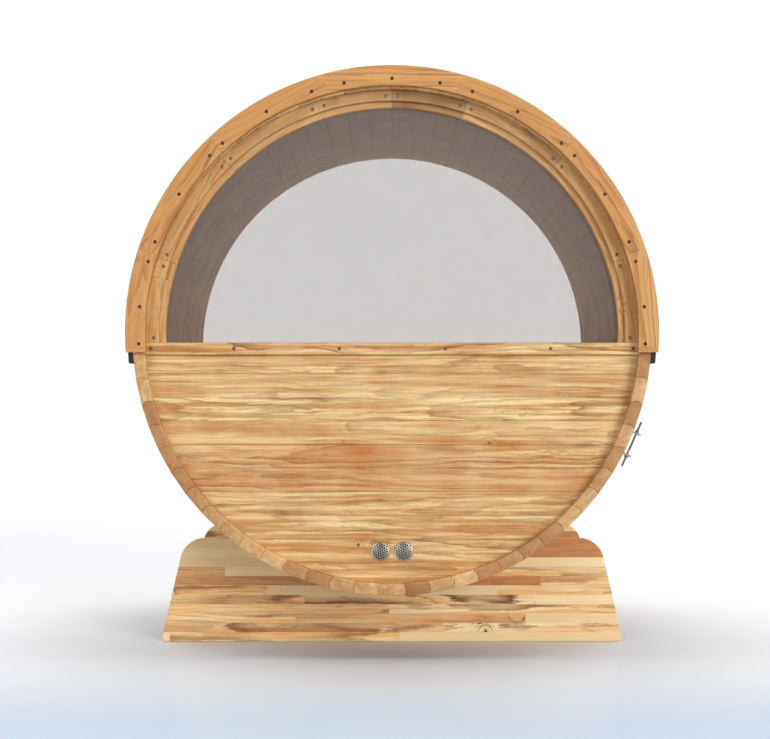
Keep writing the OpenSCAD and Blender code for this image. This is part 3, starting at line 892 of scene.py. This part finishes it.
def fasciaArc(start, end, lowZ, highZ, face, back):
    # Flat board cut to an arc: a rectangle with two rounded front corners, carried round the arc.
    f = fascia
    thick = abs(back - face)
    soft = f["soften"]
    front = np.sign(back - face)
    turn = np.radians(np.linspace(0, 90, 5))
    round1 = np.stack([f["width"] - soft + soft * np.sin(turn), soft - soft * np.cos(turn)], 1)
    round2 = np.stack([soft - soft * np.sin(turn), soft - soft * np.cos(turn)], 1)[::-1]
    section = np.concatenate([round1, [(f["width"], thick)], [(0, thick)], round2])
    count = max(4, int((end - start) / f["steps"]) + 1)
    angle = np.radians(np.linspace(start, end, count))
    radius = f["outerR"] - f["width"] + section[:, 0]
    verts = np.stack([radius[None] * np.cos(angle)[:, None],
                      np.broadcast_to(face + front * section[:, 1], (count, len(section))),
                      axisZ + f["rise"] + radius[None] * np.sin(angle)[:, None]], -1)
    if lowZ is not None:
        verts = levelEnds(verts, lowZ, highZ)
    return tube(verts, count, len(section))


def levelEnds(grid, lowZ, highZ):
    # Slides points that lie past a level cut back to it, along their own circle.
    f = fascia
    x, z = grid[..., 0], grid[..., 2]
    radius = np.hypot(x, z - axisZ - f["rise"])
    z = np.clip(z, lowZ, highZ if highZ is not None else np.inf)
    grid[..., 0] = np.sign(x) * np.sqrt(radius ** 2 - (z - axisZ - f["rise"]) ** 2)
    grid[..., 2] = z
    return grid


def fasciaArch(face, back, name, nodes):
    f = fascia
    outward = np.sign(face - back)
    gap = math.degrees(f["gap"] / f["outerR"])
    lowest = -math.degrees(math.asin((axisZ + f["rise"] - fasciaLow[2]) / (f["outerR"] - f["width"])))
    ends = [lowest - 0.5, *f["joints"], 180.5 - lowest]
    footZ = fasciaLow[2] + f["foot"]
    angles = sorted({a for s in f["screwsAt"] for a in (s, 180 - s)})
    places = [(a, xz(math.radians(a), f["screwR"], face, f["rise"])) for a in angles]
    made = []
    for number, (a, b) in enumerate(zip(ends, ends[1:])):
        a, b = a + gap / 2, b - gap / 2
        last = number in (0, len(ends) - 2)
        mid = math.radians((a + b) / 2)
        low = footZ + f["footGap"] if last else None       # the lowest stand on a short block
        part = fasciaArc(a, b, low, None, face, back)
        mine = [p for angle, p in places
                if a < angle < b and (not last or p[2] > footZ + f["clear"])]
        part = cutHoles(part, [recessCutter(p, (0, outward, 0)) for p in mine])
        grain = arcGrain(part[0], mid, f["screwR"], face, f["rise"])
        group = [(*part, grain, random.random())]
        if last:
            foot = fasciaArc(a, b, fasciaLow[2], footZ - f["footGap"], face, back)
            grain = intoBoard(foot[0], (0, face, footZ), (1, 0, 0), (0, 0, 1))
            group.append((*foot, grain, random.random()))
        made.append(group)
    if len(nodes) == len(made):
        for number, group in enumerate(made):
            woodPiece("%s_%d" % (name, number + 1), group, fasciaWood, [nodes[number]])
    else:
        woodPiece(name, sum(made, []), fasciaWood, nodes)
    heads = [sunkScrew(p, (0, outward, 0)) for _, p in places]
    partsPiece(name + "_screws", heads, darkSteel, smooth=50)


fasciaArch(fasciaLow[1], endY, "arch_board", ["fascia_board_%d" % k for k in range(1, 8)])
fasciaArch(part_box("front_fascia")[1][1], frontY, "front_arch", ["front_fascia"])
print("fascia made")

# roof: underlay, shingle courses, ridge caps, eave trims

roof = dict(low=-1.05, ridge=90.0, courses=10, overlap=0.35, buttR=0.9155, topR=0.9085,
            thick=0.0032, tab=0.200, notch=0.045, slope=0.045, slot=0.002, steps=7,
            firstTab=0.03, ridgeGap=0.15, underR=0.9020, underTopR=0.9048, underSteps=80,
            underTint=0.2, capWidth=7.2, capLength=0.16, capR=0.9159, capThick=0.0030,
            capTilt=0.0016, capLap=1.2, capSteps=9)


def shell(angles, radii, y0, y1):
    # Section of (angle, radius) points round the barrel's axis, carried along the barrel.
    ends = [xz(np.radians(angles), radii, y) for y in (y0, y1)]
    return tube(np.concatenate(ends), 2, len(radii))


def courseEdge(start):
    # Lower edge of hexagon tabs along the barrel: a flat butt, then up and down each notch.
    r = roof
    first = start - r["tab"]
    corners = np.array([0, r["tab"] - 2 * r["slope"] - r["slot"], r["tab"] - r["slope"] - r["slot"],
                        r["tab"] - r["slope"]])
    height = np.array([0, 0, r["notch"], r["notch"]])
    count = int((roofHigh[1] - roofLow[1]) / r["tab"]) + 3
    y = (first + np.arange(count)[:, None] * r["tab"] + corners).ravel()
    lift = np.tile(height, count)
    inside = (y > roofLow[1]) & (y < roofHigh[1])
    ends = np.array([roofLow[1], roofHigh[1]])
    return (np.concatenate([[ends[0]], y[inside], [ends[1]]]),
            np.concatenate([[np.interp(ends[0], y, lift)], lift[inside],
                            [np.interp(ends[1], y, lift)]]))


def shingleCourse(low, high, start, side):
    # The radius falls from the butt to the hidden top edge: r = butt + (top - butt) * s.
    r = roof
    y, lift = courseEdge(start)
    s = np.linspace(0, 1, r["steps"])
    lowest = low + np.degrees(lift / r["buttR"])
    angle = lowest[:, None] + (high - lowest)[:, None] * s
    share = (angle - low) / (high - low)
    radius = r["buttR"] + (r["topR"] - r["buttR"]) * share
    angle = np.concatenate([angle, angle[:, ::-1]], 1)
    radius = np.concatenate([radius, radius[:, ::-1] - r["thick"]], 1)
    if side < 0:
        angle = 180 - angle
    return tube(xz(np.radians(angle), radius, y[:, None]), *angle.shape)


def makeRoof():
    r = roof
    turns = np.linspace(r["low"], 180 - r["low"], r["underSteps"])
    under = shell(np.concatenate([turns, turns[::-1]]),
                  np.repeat([r["underTopR"], r["underR"]], r["underSteps"]), roofLow[1], roofHigh[1])
    parts, tints = [under], [r["underTint"]]
    pitch = (r["ridge"] - r["low"]) / r["courses"]
    for side in (1, -1):
        for k in range(r["courses"]):
            low = r["low"] + k * pitch
            high = min(low + pitch * (1 + r["overlap"]), r["ridge"] - r["ridgeGap"])
            start = roofLow[1] + (k % 2) * r["tab"] / 2 + r["firstTab"]
            parts.append(shingleCourse(low, high, start, side))
            tints.append(float(random.random()))
    half = r["capWidth"]
    caps = int((roofHigh[1] - roofLow[1]) / r["capLength"])
    length = (roofHigh[1] - roofLow[1]) / caps
    turns = np.linspace(90 - half, 90 + half, r["capSteps"])
    for k in range(caps):                      # each cap tilts up over the next one
        y0 = roofLow[1] + k * length
        y1 = min(y0 + length * r["capLap"], roofHigh[1])
        far = r["capR"] - r["capTilt"]
        corners = [xz(np.radians(turns), radius, y) for radius, y in (
            (r["capR"], y0), (r["capR"] - r["capThick"], y0), (far - r["capThick"], y1), (far, y1))]
        parts.append(tube(np.stack(corners, 1), len(turns), 4))
        tints.append(float(random.random()))
    piece = makeObject("shingles", *joined(parts), 25)
    pointValues(piece, "board", parts, tints)
    finishPiece(piece, roofBitumen, ["roof_cover"])


trim = dict(innerR=0.9016, outerR=0.9174, low=-5.95, high=-1.25, soften=0.006)


def eaveTrims():
    # The outer lower corner is a quarter round of the given radius.
    t = trim
    turn = math.degrees(t["soften"] / t["outerR"])
    q = np.linspace(0, math.pi / 2, 6)
    angles = np.concatenate([[t["high"], t["high"]], [t["low"]], t["low"] + turn - turn * np.cos(q)])
    radii = np.concatenate([[t["outerR"], t["innerR"]], [t["innerR"]],
                            t["outerR"] - t["soften"] + t["soften"] * np.sin(q)])
    for name, side in (("right", 1), ("left", -1)):
        part = shell(angles if side > 0 else 180 - angles, radii, roofLow[1], roofHigh[1])
        partsPiece("eave_" + name, [part], eaveBlack, ["eave_trim_" + name], 35)


makeRoof()
eaveTrims()
print("roof made")


# hoops keep their CAD shape; the rods get real threads, nuts and washers

rod = dict(angle=24.0, radius=0.004, pitch=0.00125, depth=0.0007, length=0.170, off=0.027,
           chamfer=0.0010, sides=20, lugSpacing=0.082, lug=0.006, washer=0.0016,
           washerR=(0.0042, 0.0080), nut=0.0065, nutR=0.00752, nutBevel=0.0004, nutSides=48,
           rivetR=0.0032, rivetRise=0.0014, rivets=(-0.085, -0.045, 0.045, 0.085), lapAngle=24.5,
           lapRise=0.0030)
hoopBoxes = {n: np.array(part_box(n)) for n in ("window_end_hoop", "front_hoop")}


def threadedRod(place, axis, across, depthAxis):
    # Helix: radius = R - depth * |2 * fract(along / pitch - turn / 2 pi) - 1|, ends chamfered.
    r = rod
    rows = int(r["length"] / r["pitch"] * 5)
    along = np.linspace(-r["length"] / 2, r["length"] / 2, rows)[:, None]
    turn = np.linspace(0, tau, r["sides"], endpoint=False)[None]
    wave = np.abs(2 * ((along / r["pitch"] - turn / tau) % 1.0) - 1)
    radius = r["radius"] - r["depth"] * wave
    chamfer = r["length"] / 2 - np.abs(along)
    radius = np.minimum(radius, r["radius"] - r["chamfer"] + chamfer)
    return spun(place, axis, across, depthAxis, along, radius, turn)


def hexNut(place, axis, across, depthAxis):
    # Hexagon r(turn) = apothem / cos(turn from the flat's middle), cut by a 30 degree cone.
    r = rod
    apothem = r["nutR"] * math.cos(math.pi / 6)
    bevel = np.array([0, 1, 2]) * r["nutBevel"]
    along = np.concatenate([bevel, r["nut"] - bevel[::-1]])[:, None]
    turn = np.linspace(0, tau, r["nutSides"], endpoint=False)[None]
    flat = apothem / np.cos((turn + math.pi / 6) % (math.pi / 3) - math.pi / 6)
    near = np.minimum(along, r["nut"] - along)
    radius = np.minimum(flat, apothem * 0.97 + near * 1.7)
    return spun(place, axis, across, depthAxis, along, radius, turn)


def tensionRods():
    r = rod
    turn = math.radians(r["angle"])
    outwards = np.array([math.cos(turn), 0, -math.sin(turn)])
    along = np.array([math.sin(turn), 0, math.cos(turn)])
    sideways = np.array([0, 1.0, 0])
    for name, node in (("window_end_rod", "window_end_tension_rod"),
                       ("front_rod", "front_tension_rod")):
        low, high = np.array(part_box(node))
        middle = np.array([0, (low[1] + high[1]) / 2, axisZ]) + outwards * (barrelR + r["off"])
        parts = [threadedRod(middle, along, outwards, sideways)]
        for way in (1, -1):
            start = middle + along * way * (r["lugSpacing"] + r["lug"]) / 2
            bore, rim = r["washerR"]
            parts.append(lathe([(bore, 0), (rim, 0), (rim, r["washer"]), (bore, r["washer"])], 32,
                               start, along * way))
            parts.append(hexNut(start + along * way * r["washer"], along * way, outwards,
                                sideways))
        partsPiece(name, parts, hoopSteel, [node], 32)


def lapRivets():
    r = rod
    heads = []
    radius = barrelR + 0.0003 + r["lapRise"]
    for box in hoopBoxes.values():
        y = (box[0][1] + box[1][1]) / 2
        for along in r["rivets"]:
            angle = math.radians(180 + r["lapAngle"]) + along / barrelR
            outwards = np.array([math.cos(angle), 0, math.sin(angle)])
            place = np.array([0, y, axisZ]) + outwards * radius
            heads.append(screwHead(place, outwards, r["rivetR"], r["rivetRise"], socket=False))
    partsPiece("lap_rivets", heads, hoopSteel, smooth=50)


tensionRods()
lapRivets()
print("hoops and rods made")


# cradles

cradle = dict(topWidth=1.549, shoulderR=0.088, footR=0.015, seatGap=0.0005, soften=0.004)


def fillet(corner, before, after, radius, steps=14):
    # Points of the arc that touches both sides of a corner.
    corner, before, after = (np.array(p, float) for p in (corner, before, after))
    a, b = before - corner, after - corner
    a, b = a / np.linalg.norm(a), b / np.linalg.norm(b)
    half = math.acos(np.clip(a @ b, -1, 1)) / 2
    middle = (a + b) / np.linalg.norm(a + b)
    centre = corner + middle * radius / math.sin(half)
    first = corner + a * radius / math.tan(half) - centre
    last = corner + b * radius / math.tan(half) - centre
    start = math.atan2(first[1], first[0])
    sweepBy = (math.atan2(last[1], last[0]) - start + math.pi) % tau - math.pi
    turn = start + sweepBy * np.linspace(0, 1, steps)
    return centre + radius * np.stack([np.cos(turn), np.sin(turn)], 1)


def cradleOutline(low, high):
    c = cradle
    foot, top = (high[0] - low[0]) / 2, c["topWidth"] / 2
    height = high[2]
    seatR = barrelR + c["seatGap"]
    edge = math.sqrt(seatR ** 2 - (axisZ - height) ** 2)
    half = math.asin(edge / seatR)
    turn = np.linspace(-half, half, 90)
    seat = np.stack([-seatR * np.sin(turn), axisZ - seatR * np.cos(turn)], 1)
    right = np.concatenate([fillet((foot, 0), (-foot, 0), (top, height), c["footR"]),
                            fillet((top, height), (foot, 0), (0, height), c["shoulderR"])])
    return np.concatenate([right, seat, right[::-1] * [-1, 1]])


def boardFromOutline(outline, y0, y1, soften):
    # The outline as a slab whose edges are rounded: the face outline is moved in by the radius.
    ahead = np.roll(outline, -1, 0) - outline
    back = outline - np.roll(outline, 1, 0)
    normal = ahead / np.linalg.norm(ahead, axis=1)[:, None] + back / np.linalg.norm(back, axis=1)[:, None]
    normal = np.stack([normal[:, 1], -normal[:, 0]], 1)
    normal /= np.linalg.norm(normal, axis=1)[:, None]
    turn = np.linspace(0, math.pi / 2, 4)
    moves = [(y0, 1, t) for t in turn] + [(y1, -1, t) for t in turn[::-1]]
    slices = [(outline - normal * soften * (1 - math.sin(t)), y + way * soften * (1 - math.cos(t)))
              for y, way, t in moves]
    verts = np.concatenate([np.stack([p[:, 0], np.full(len(p), y), p[:, 1]], 1) for p, y in slices])
    return tube(verts, len(slices), len(outline))


for name in ("window_end_cradle", "front_cradle"):
    low, high = np.array(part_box(name))
    part = boardFromOutline(cradleOutline(low, high), low[1], high[1], cradle["soften"])
    partsPiece(name + "_board", [part], cradleWood, [name])
print("cradles made")


# perforated vent covers

cover = dict(rim=0.0032, rimRise=0.0016, rimSides=64, tuck=0.0004, dome=0.0030, hole=0.0031,
             pitch=0.0092, turn=-22.0, thick=0.0006, screenR=0.0285, screenDepth=0.004,
             screenThick=0.001)


def ventCover(name, node):
    # Dome height = dome * (1 - (r / R)^2); the plate is hexagon cells, each with a round hole.
    c = cover
    low, high = ventBoxes[node]
    middle = (low + high) / 2
    radius = (high[0] - low[0]) / 2
    face, back = low[1], high[1]
    plateR = radius - c["rim"] + c["tuck"]
    turn = math.radians(c["turn"])
    i, j = np.meshgrid(np.arange(-9, 10), np.arange(-9, 10))
    spots = np.stack([(i + j / 2).ravel() * c["pitch"], (j * math.sqrt(0.75)).ravel() * c["pitch"]], 1)
    turned = np.array([[math.cos(turn), math.sin(turn)], [-math.sin(turn), math.cos(turn)]])
    spots = spots @ turned
    holed = np.linalg.norm(spots, axis=1) < plateR - c["hole"] * 1.1
    flat = (math.pi / 6 + math.pi / 3 * np.arange(6))
    cellR = c["pitch"] / math.sqrt(3)
    ring = np.repeat(cellR * np.stack([np.cos(flat), np.sin(flat)], 1), 2, 0)
    ring = (ring + np.roll(ring, -1, 0)) / 2                         # corners and mid sides
    ring = ring @ turned
    angle = np.arctan2(ring[:, 1], ring[:, 0])
    hole = c["hole"] * np.stack([np.cos(angle), np.sin(angle)], 1)
    parts = []
    near = np.linalg.norm(spots, axis=1) < plateR + cellR
    for spot, open_ in zip(spots[near], holed[near]):
        outer = spot + ring
        far = np.linalg.norm(outer, axis=1)
        outer = outer * np.minimum(1, plateR / np.maximum(far, 1e-9))[:, None]
        if len(np.unique(np.round(outer, 5), axis=0)) < 3:
            continue
        inner = spot + hole if open_ else spot * min(1, plateR / max(np.linalg.norm(spot), 1e-9)) \
            + hole * 0.02
        n = len(outer)
        plan = np.concatenate([outer, inner, inner, outer])
        rise = c["dome"] * (1 - (plan ** 2).sum(1) / plateR ** 2)
        front = face + c["dome"] - rise
        deep = np.repeat([0, 0, c["thick"], c["thick"]], n)
        verts = np.stack([middle[0] + plan[:, 0], front + deep, middle[2] + plan[:, 1]], 1)
        faces = gridFaces(4, n, wrapRows=True, wrapCols=True).tolist()
        parts.append((verts, facingOut(verts, faces)))
    q = np.linspace(0, math.pi, 9)                                   # half-round rim
    rimMiddle = radius - c["rim"] / 2
    profile = [(rimMiddle + c["rim"] / 2 * math.cos(t), c["rimRise"] * math.sin(t)) for t in q]
    depth = back - face - c["rimRise"]
    ringProfile = np.array([(rimMiddle + c["rim"] / 2, -depth)] + profile
                           + [(rimMiddle - c["rim"] / 2, -depth)])
    turns = np.linspace(0, tau, c["rimSides"], endpoint=False)
    verts = np.stack([middle[0] + ringProfile[None, :, 0] * np.cos(turns)[:, None],
                      np.broadcast_to(face + c["rimRise"] - ringProfile[:, 1],
                                      (c["rimSides"], len(ringProfile))),
                      middle[2] + ringProfile[None, :, 0] * np.sin(turns)[:, None]], -1)
    faces = gridFaces(c["rimSides"], len(ringProfile), wrapRows=True, wrapCols=True).tolist()
    verts = verts.reshape(-1, 3)
    parts.append((verts, facingOut(verts, faces)))
    partsPiece(name, parts, ventSteel, [node], 40)


ventCover("vent_left", "vent_cover_left")
ventCover("vent_right", "vent_cover_right")
screens = [lathe([(cover["screenR"], 0.0), (cover["screenR"], cover["screenThick"])], vents["sides"],
                 (p[0], wallLow[1] + cover["screenDepth"], p[2]), (0, 1, 0))
           for p in ventPlaces.values()]
partsPiece("vent_screens", screens, screenCloth)
print("vents made")


# glass front: panes and pivots keep their CAD shape, the handle is turned

handle = dict(gripR=0.016, soften=0.006, studR=0.006, span=0.6, collarR=0.012, edge=0.0012,
              collar=0.006, coneR=0.009, cone=0.009, neckR=0.0075, neck=0.012, inGrip=0.9)


def doorHandle():
    h = handle
    low, high = np.array(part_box("door_handle"))
    pane = np.array(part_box("door_glass"))
    faces = (pane[0][1], pane[1][1])
    middle, x = (low + high) / 2, (low[0] + high[0]) / 2
    length = high[2] - low[2]
    q = np.linspace(0, math.pi / 2, 6)
    half = length / 2
    end = [(h["gripR"] - h["soften"] + h["soften"] * math.sin(t),
            half - h["soften"] + h["soften"] * math.cos(t)) for t in q]
    profile = [(r, -z) for r, z in end] + [(r, z) for r, z in end[::-1]]
    boardsMade = []
    for y in (low[1] + h["gripR"], high[1] - h["gripR"]):
        part = lathe(profile, 40, (x, y, middle[2]), (0, 0, 1))
        grain = intoBoard(part[0], (x, y, middle[2]), (0, 0, 1), (1, 0, 0))
        boardsMade.append((*part, grain, random.random()))
    woodPiece("grips", boardsMade, gripWood, ["door_handle"], 40)
    studs = []
    inner = low[1] + h["gripR"], high[1] - h["gripR"]
    for way in (-1, 1):
        z = middle[2] + way * length * h["span"] / 2
        studs.append(lathe([(h["studR"], inner[0] - faces[0]), (h["studR"], inner[1] - faces[0])],
                           28, (x, faces[0], z), (0, 1, 0)))
        for start, outward in ((faces[0], -1), (faces[1], 1)):
            c = h["collarR"]
            reach = abs((inner[0] if outward < 0 else inner[1]) - start) - h["gripR"] * h["inGrip"]
            studs.append(lathe([(c - h["edge"], 0), (c, h["edge"]), (c, h["collar"]),
                                (h["coneR"], h["cone"]), (h["neckR"], h["neck"]),
                                (h["neckR"], reach)], 36, (x, start, z), (0, outward, 0)))
    partsPiece("handle_studs", studs, hoopSteel, smooth=35)


doorHandle()


def doorSeals():
    # Clear strips in the two upright gaps, from curve to curve: z = sqrt(R^2 - x^2).
    pane, right = np.array(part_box("door_glass")), np.array(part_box("side_glass_right"))
    strips = []
    for side in (1, -1):
        x = side * np.array([pane[1][0], right[0][0]])
        reach = np.sqrt(innerR ** 2 - x ** 2)
        corners = [(x[0], -reach[0]), (x[1], -reach[1]), (x[1], reach[1]), (x[0], reach[0])]
        verts = np.array([(cx, y, axisZ + cz) for y in (pane[0][1], pane[1][1])
                          for cx, cz in corners])
        strips.append(tube(verts, 2, 4))
    partsPiece("door_seals", strips, clearGlass)


doorSeals()

for node, material in (("window_glass", tintedGlass), ("side_glass_left", clearGlass),
                       ("side_glass_right", clearGlass), ("door_glass", clearGlass),
                       ("door_pivots", hoopSteel), ("window_end_hoop", hoopSteel),
                       ("front_hoop", hoopSteel)):
    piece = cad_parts[node]
    piece.data.materials.clear()
    piece.data.materials.append(material)
print("glass front made")


# floor, lights, camera

studio = dict(floor=30.0, ambient=0.05, seen=1.05, bounce=0.60, sheen=0.05, sheenRough=0.08,
              floorWhite=srgb(250, 252, 255), floorBlue=srgb(211, 226, 243),
              blueFrom=-0.9, blueTo=-2.2, blueEnds=-7.0,
              shade=srgb(236, 240, 246), shadeMiddle=(0.0, -0.35, 0.0),
              shadeReach=(1.6, 1.1, 1.0))
# each lamp: strength, width in degrees, and the way to it from the object
lamps = dict(key=(1.80, 28.0, (0.58, -0.95, 0.25)), fill=(1.24, 46.0, (-0.60, -1.0, 0.04)),
             top=(3.16, 100.0, (0.0, 0.45, 1.0)))
view = dict(lens=81.75, sensor=36.0, shiftX=-0.0091, shiftY=0.0344, place=(0, -6.96, 0.918),
            farthest=200.0)


def makeFloor():
    # Pale floor, bluer towards the viewer, with a thin reflection; it lights the object less
    # than its own paleness would.
    f = studio["floor"]
    verts = np.array([(-f, -f, 0), (f, -f, 0), (f, f, 0), (-f, f, 0)], float)
    floor = makeObject("floor", verts, [[0, 1, 2, 3]])
    material, tree, shader = newMaterial("studioFloor")
    place = objectPlace(tree)
    y = split(tree, place)[1]
    near = calc(tree, "MULTIPLY", stretch(tree, y, studio["blueFrom"], studio["blueTo"], smooth=True),
                stretch(tree, y, studio["blueEnds"], studio["blueTo"], smooth=True))
    colour = blendColour(tree, near, studio["floorWhite"], studio["floorBlue"])
    away = vectorCalc(tree, "DIVIDE", vectorCalc(tree, "SUBTRACT", place, studio["shadeMiddle"]),
                      studio["shadeReach"])
    under = stretch(tree, vectorCalc(tree, "LENGTH", away), 0.2, 1.35, 1.0, 0.0, smooth=True)
    colour = blendColour(tree, under, colour, studio["shade"], "MULTIPLY")    # painted shadow: softly darker under the object
    straight = addNode(tree, "ShaderNodeLightPath").outputs["Is Camera Ray"]
    dimmed = blendColour(tree, 1.0, colour, (studio["bounce"],) * 3 + (1.0,), "MULTIPLY")
    tree.links.new(blendColour(tree, straight, dimmed, colour), shader.inputs["Base Color"])
    shader.inputs["Roughness"].default_value = 0.9
    shader.inputs["Specular IOR Level"].default_value = 0.0
    gloss = addNode(tree, "ShaderNodeBsdfGlossy", {"Color": (1, 1, 1, 1),
                                                   "Roughness": studio["sheenRough"]})
    mixed = addNode(tree, "ShaderNodeMixShader", {0: studio["sheen"], 1: shader.outputs[0],
                                                  2: gloss.outputs[0]})
    output = next(n for n in tree.nodes if n.type == "OUTPUT_MATERIAL")
    tree.links.new(mixed.outputs[0], output.inputs[0])
    floor.data.materials.append(material)


def makeSun(name, strength, width, towards):
    light = bpy.data.lights.new(name, "SUN")
    light.energy, light.angle = strength, math.radians(width)
    lamp = bpy.data.objects.new(name, light)
    lamp.rotation_euler = Vector(towards).to_track_quat("Z", "Y").to_euler()
    bpy.context.scene.collection.objects.link(lamp)


def makeSky():
    # Rays straight from the camera meet plain white; what lights the object is softer.
    world = bpy.data.worlds.new("studio")
    bpy.context.scene.world = world
    world.use_nodes = True
    tree = world.node_tree
    tree.nodes.clear()
    seen = addNode(tree, "ShaderNodeBackground", {"Color": (1, 1, 1, 1), "Strength": studio["seen"]})
    lit = addNode(tree, "ShaderNodeBackground", {"Color": (1, 1, 1, 1),
                                                 "Strength": studio["ambient"]})
    straight = addNode(tree, "ShaderNodeLightPath").outputs["Is Camera Ray"]
    mixed = addNode(tree, "ShaderNodeMixShader", {0: straight, 1: lit.outputs[0],
                                                  2: seen.outputs[0]})
    output = addNode(tree, "ShaderNodeOutputWorld")
    tree.links.new(mixed.outputs[0], output.inputs[0])


def makeCamera():
    data = bpy.data.cameras.new("camera")
    data.lens, data.sensor_width = view["lens"], view["sensor"]
    data.shift_x, data.shift_y = view["shiftX"], view["shiftY"]
    data.clip_end = view["farthest"]
    camera = bpy.data.objects.new("camera", data)
    camera.location = view["place"]
    camera.rotation_euler = (math.pi / 2, 0, 0)
    bpy.context.scene.collection.objects.link(camera)
    bpy.context.scene.camera = camera


makeFloor()
for name, settings in lamps.items():
    makeSun(name, *settings)
makeSky()
makeCamera()
bpy.context.scene.view_settings.view_transform = "Standard"
print("studio made")
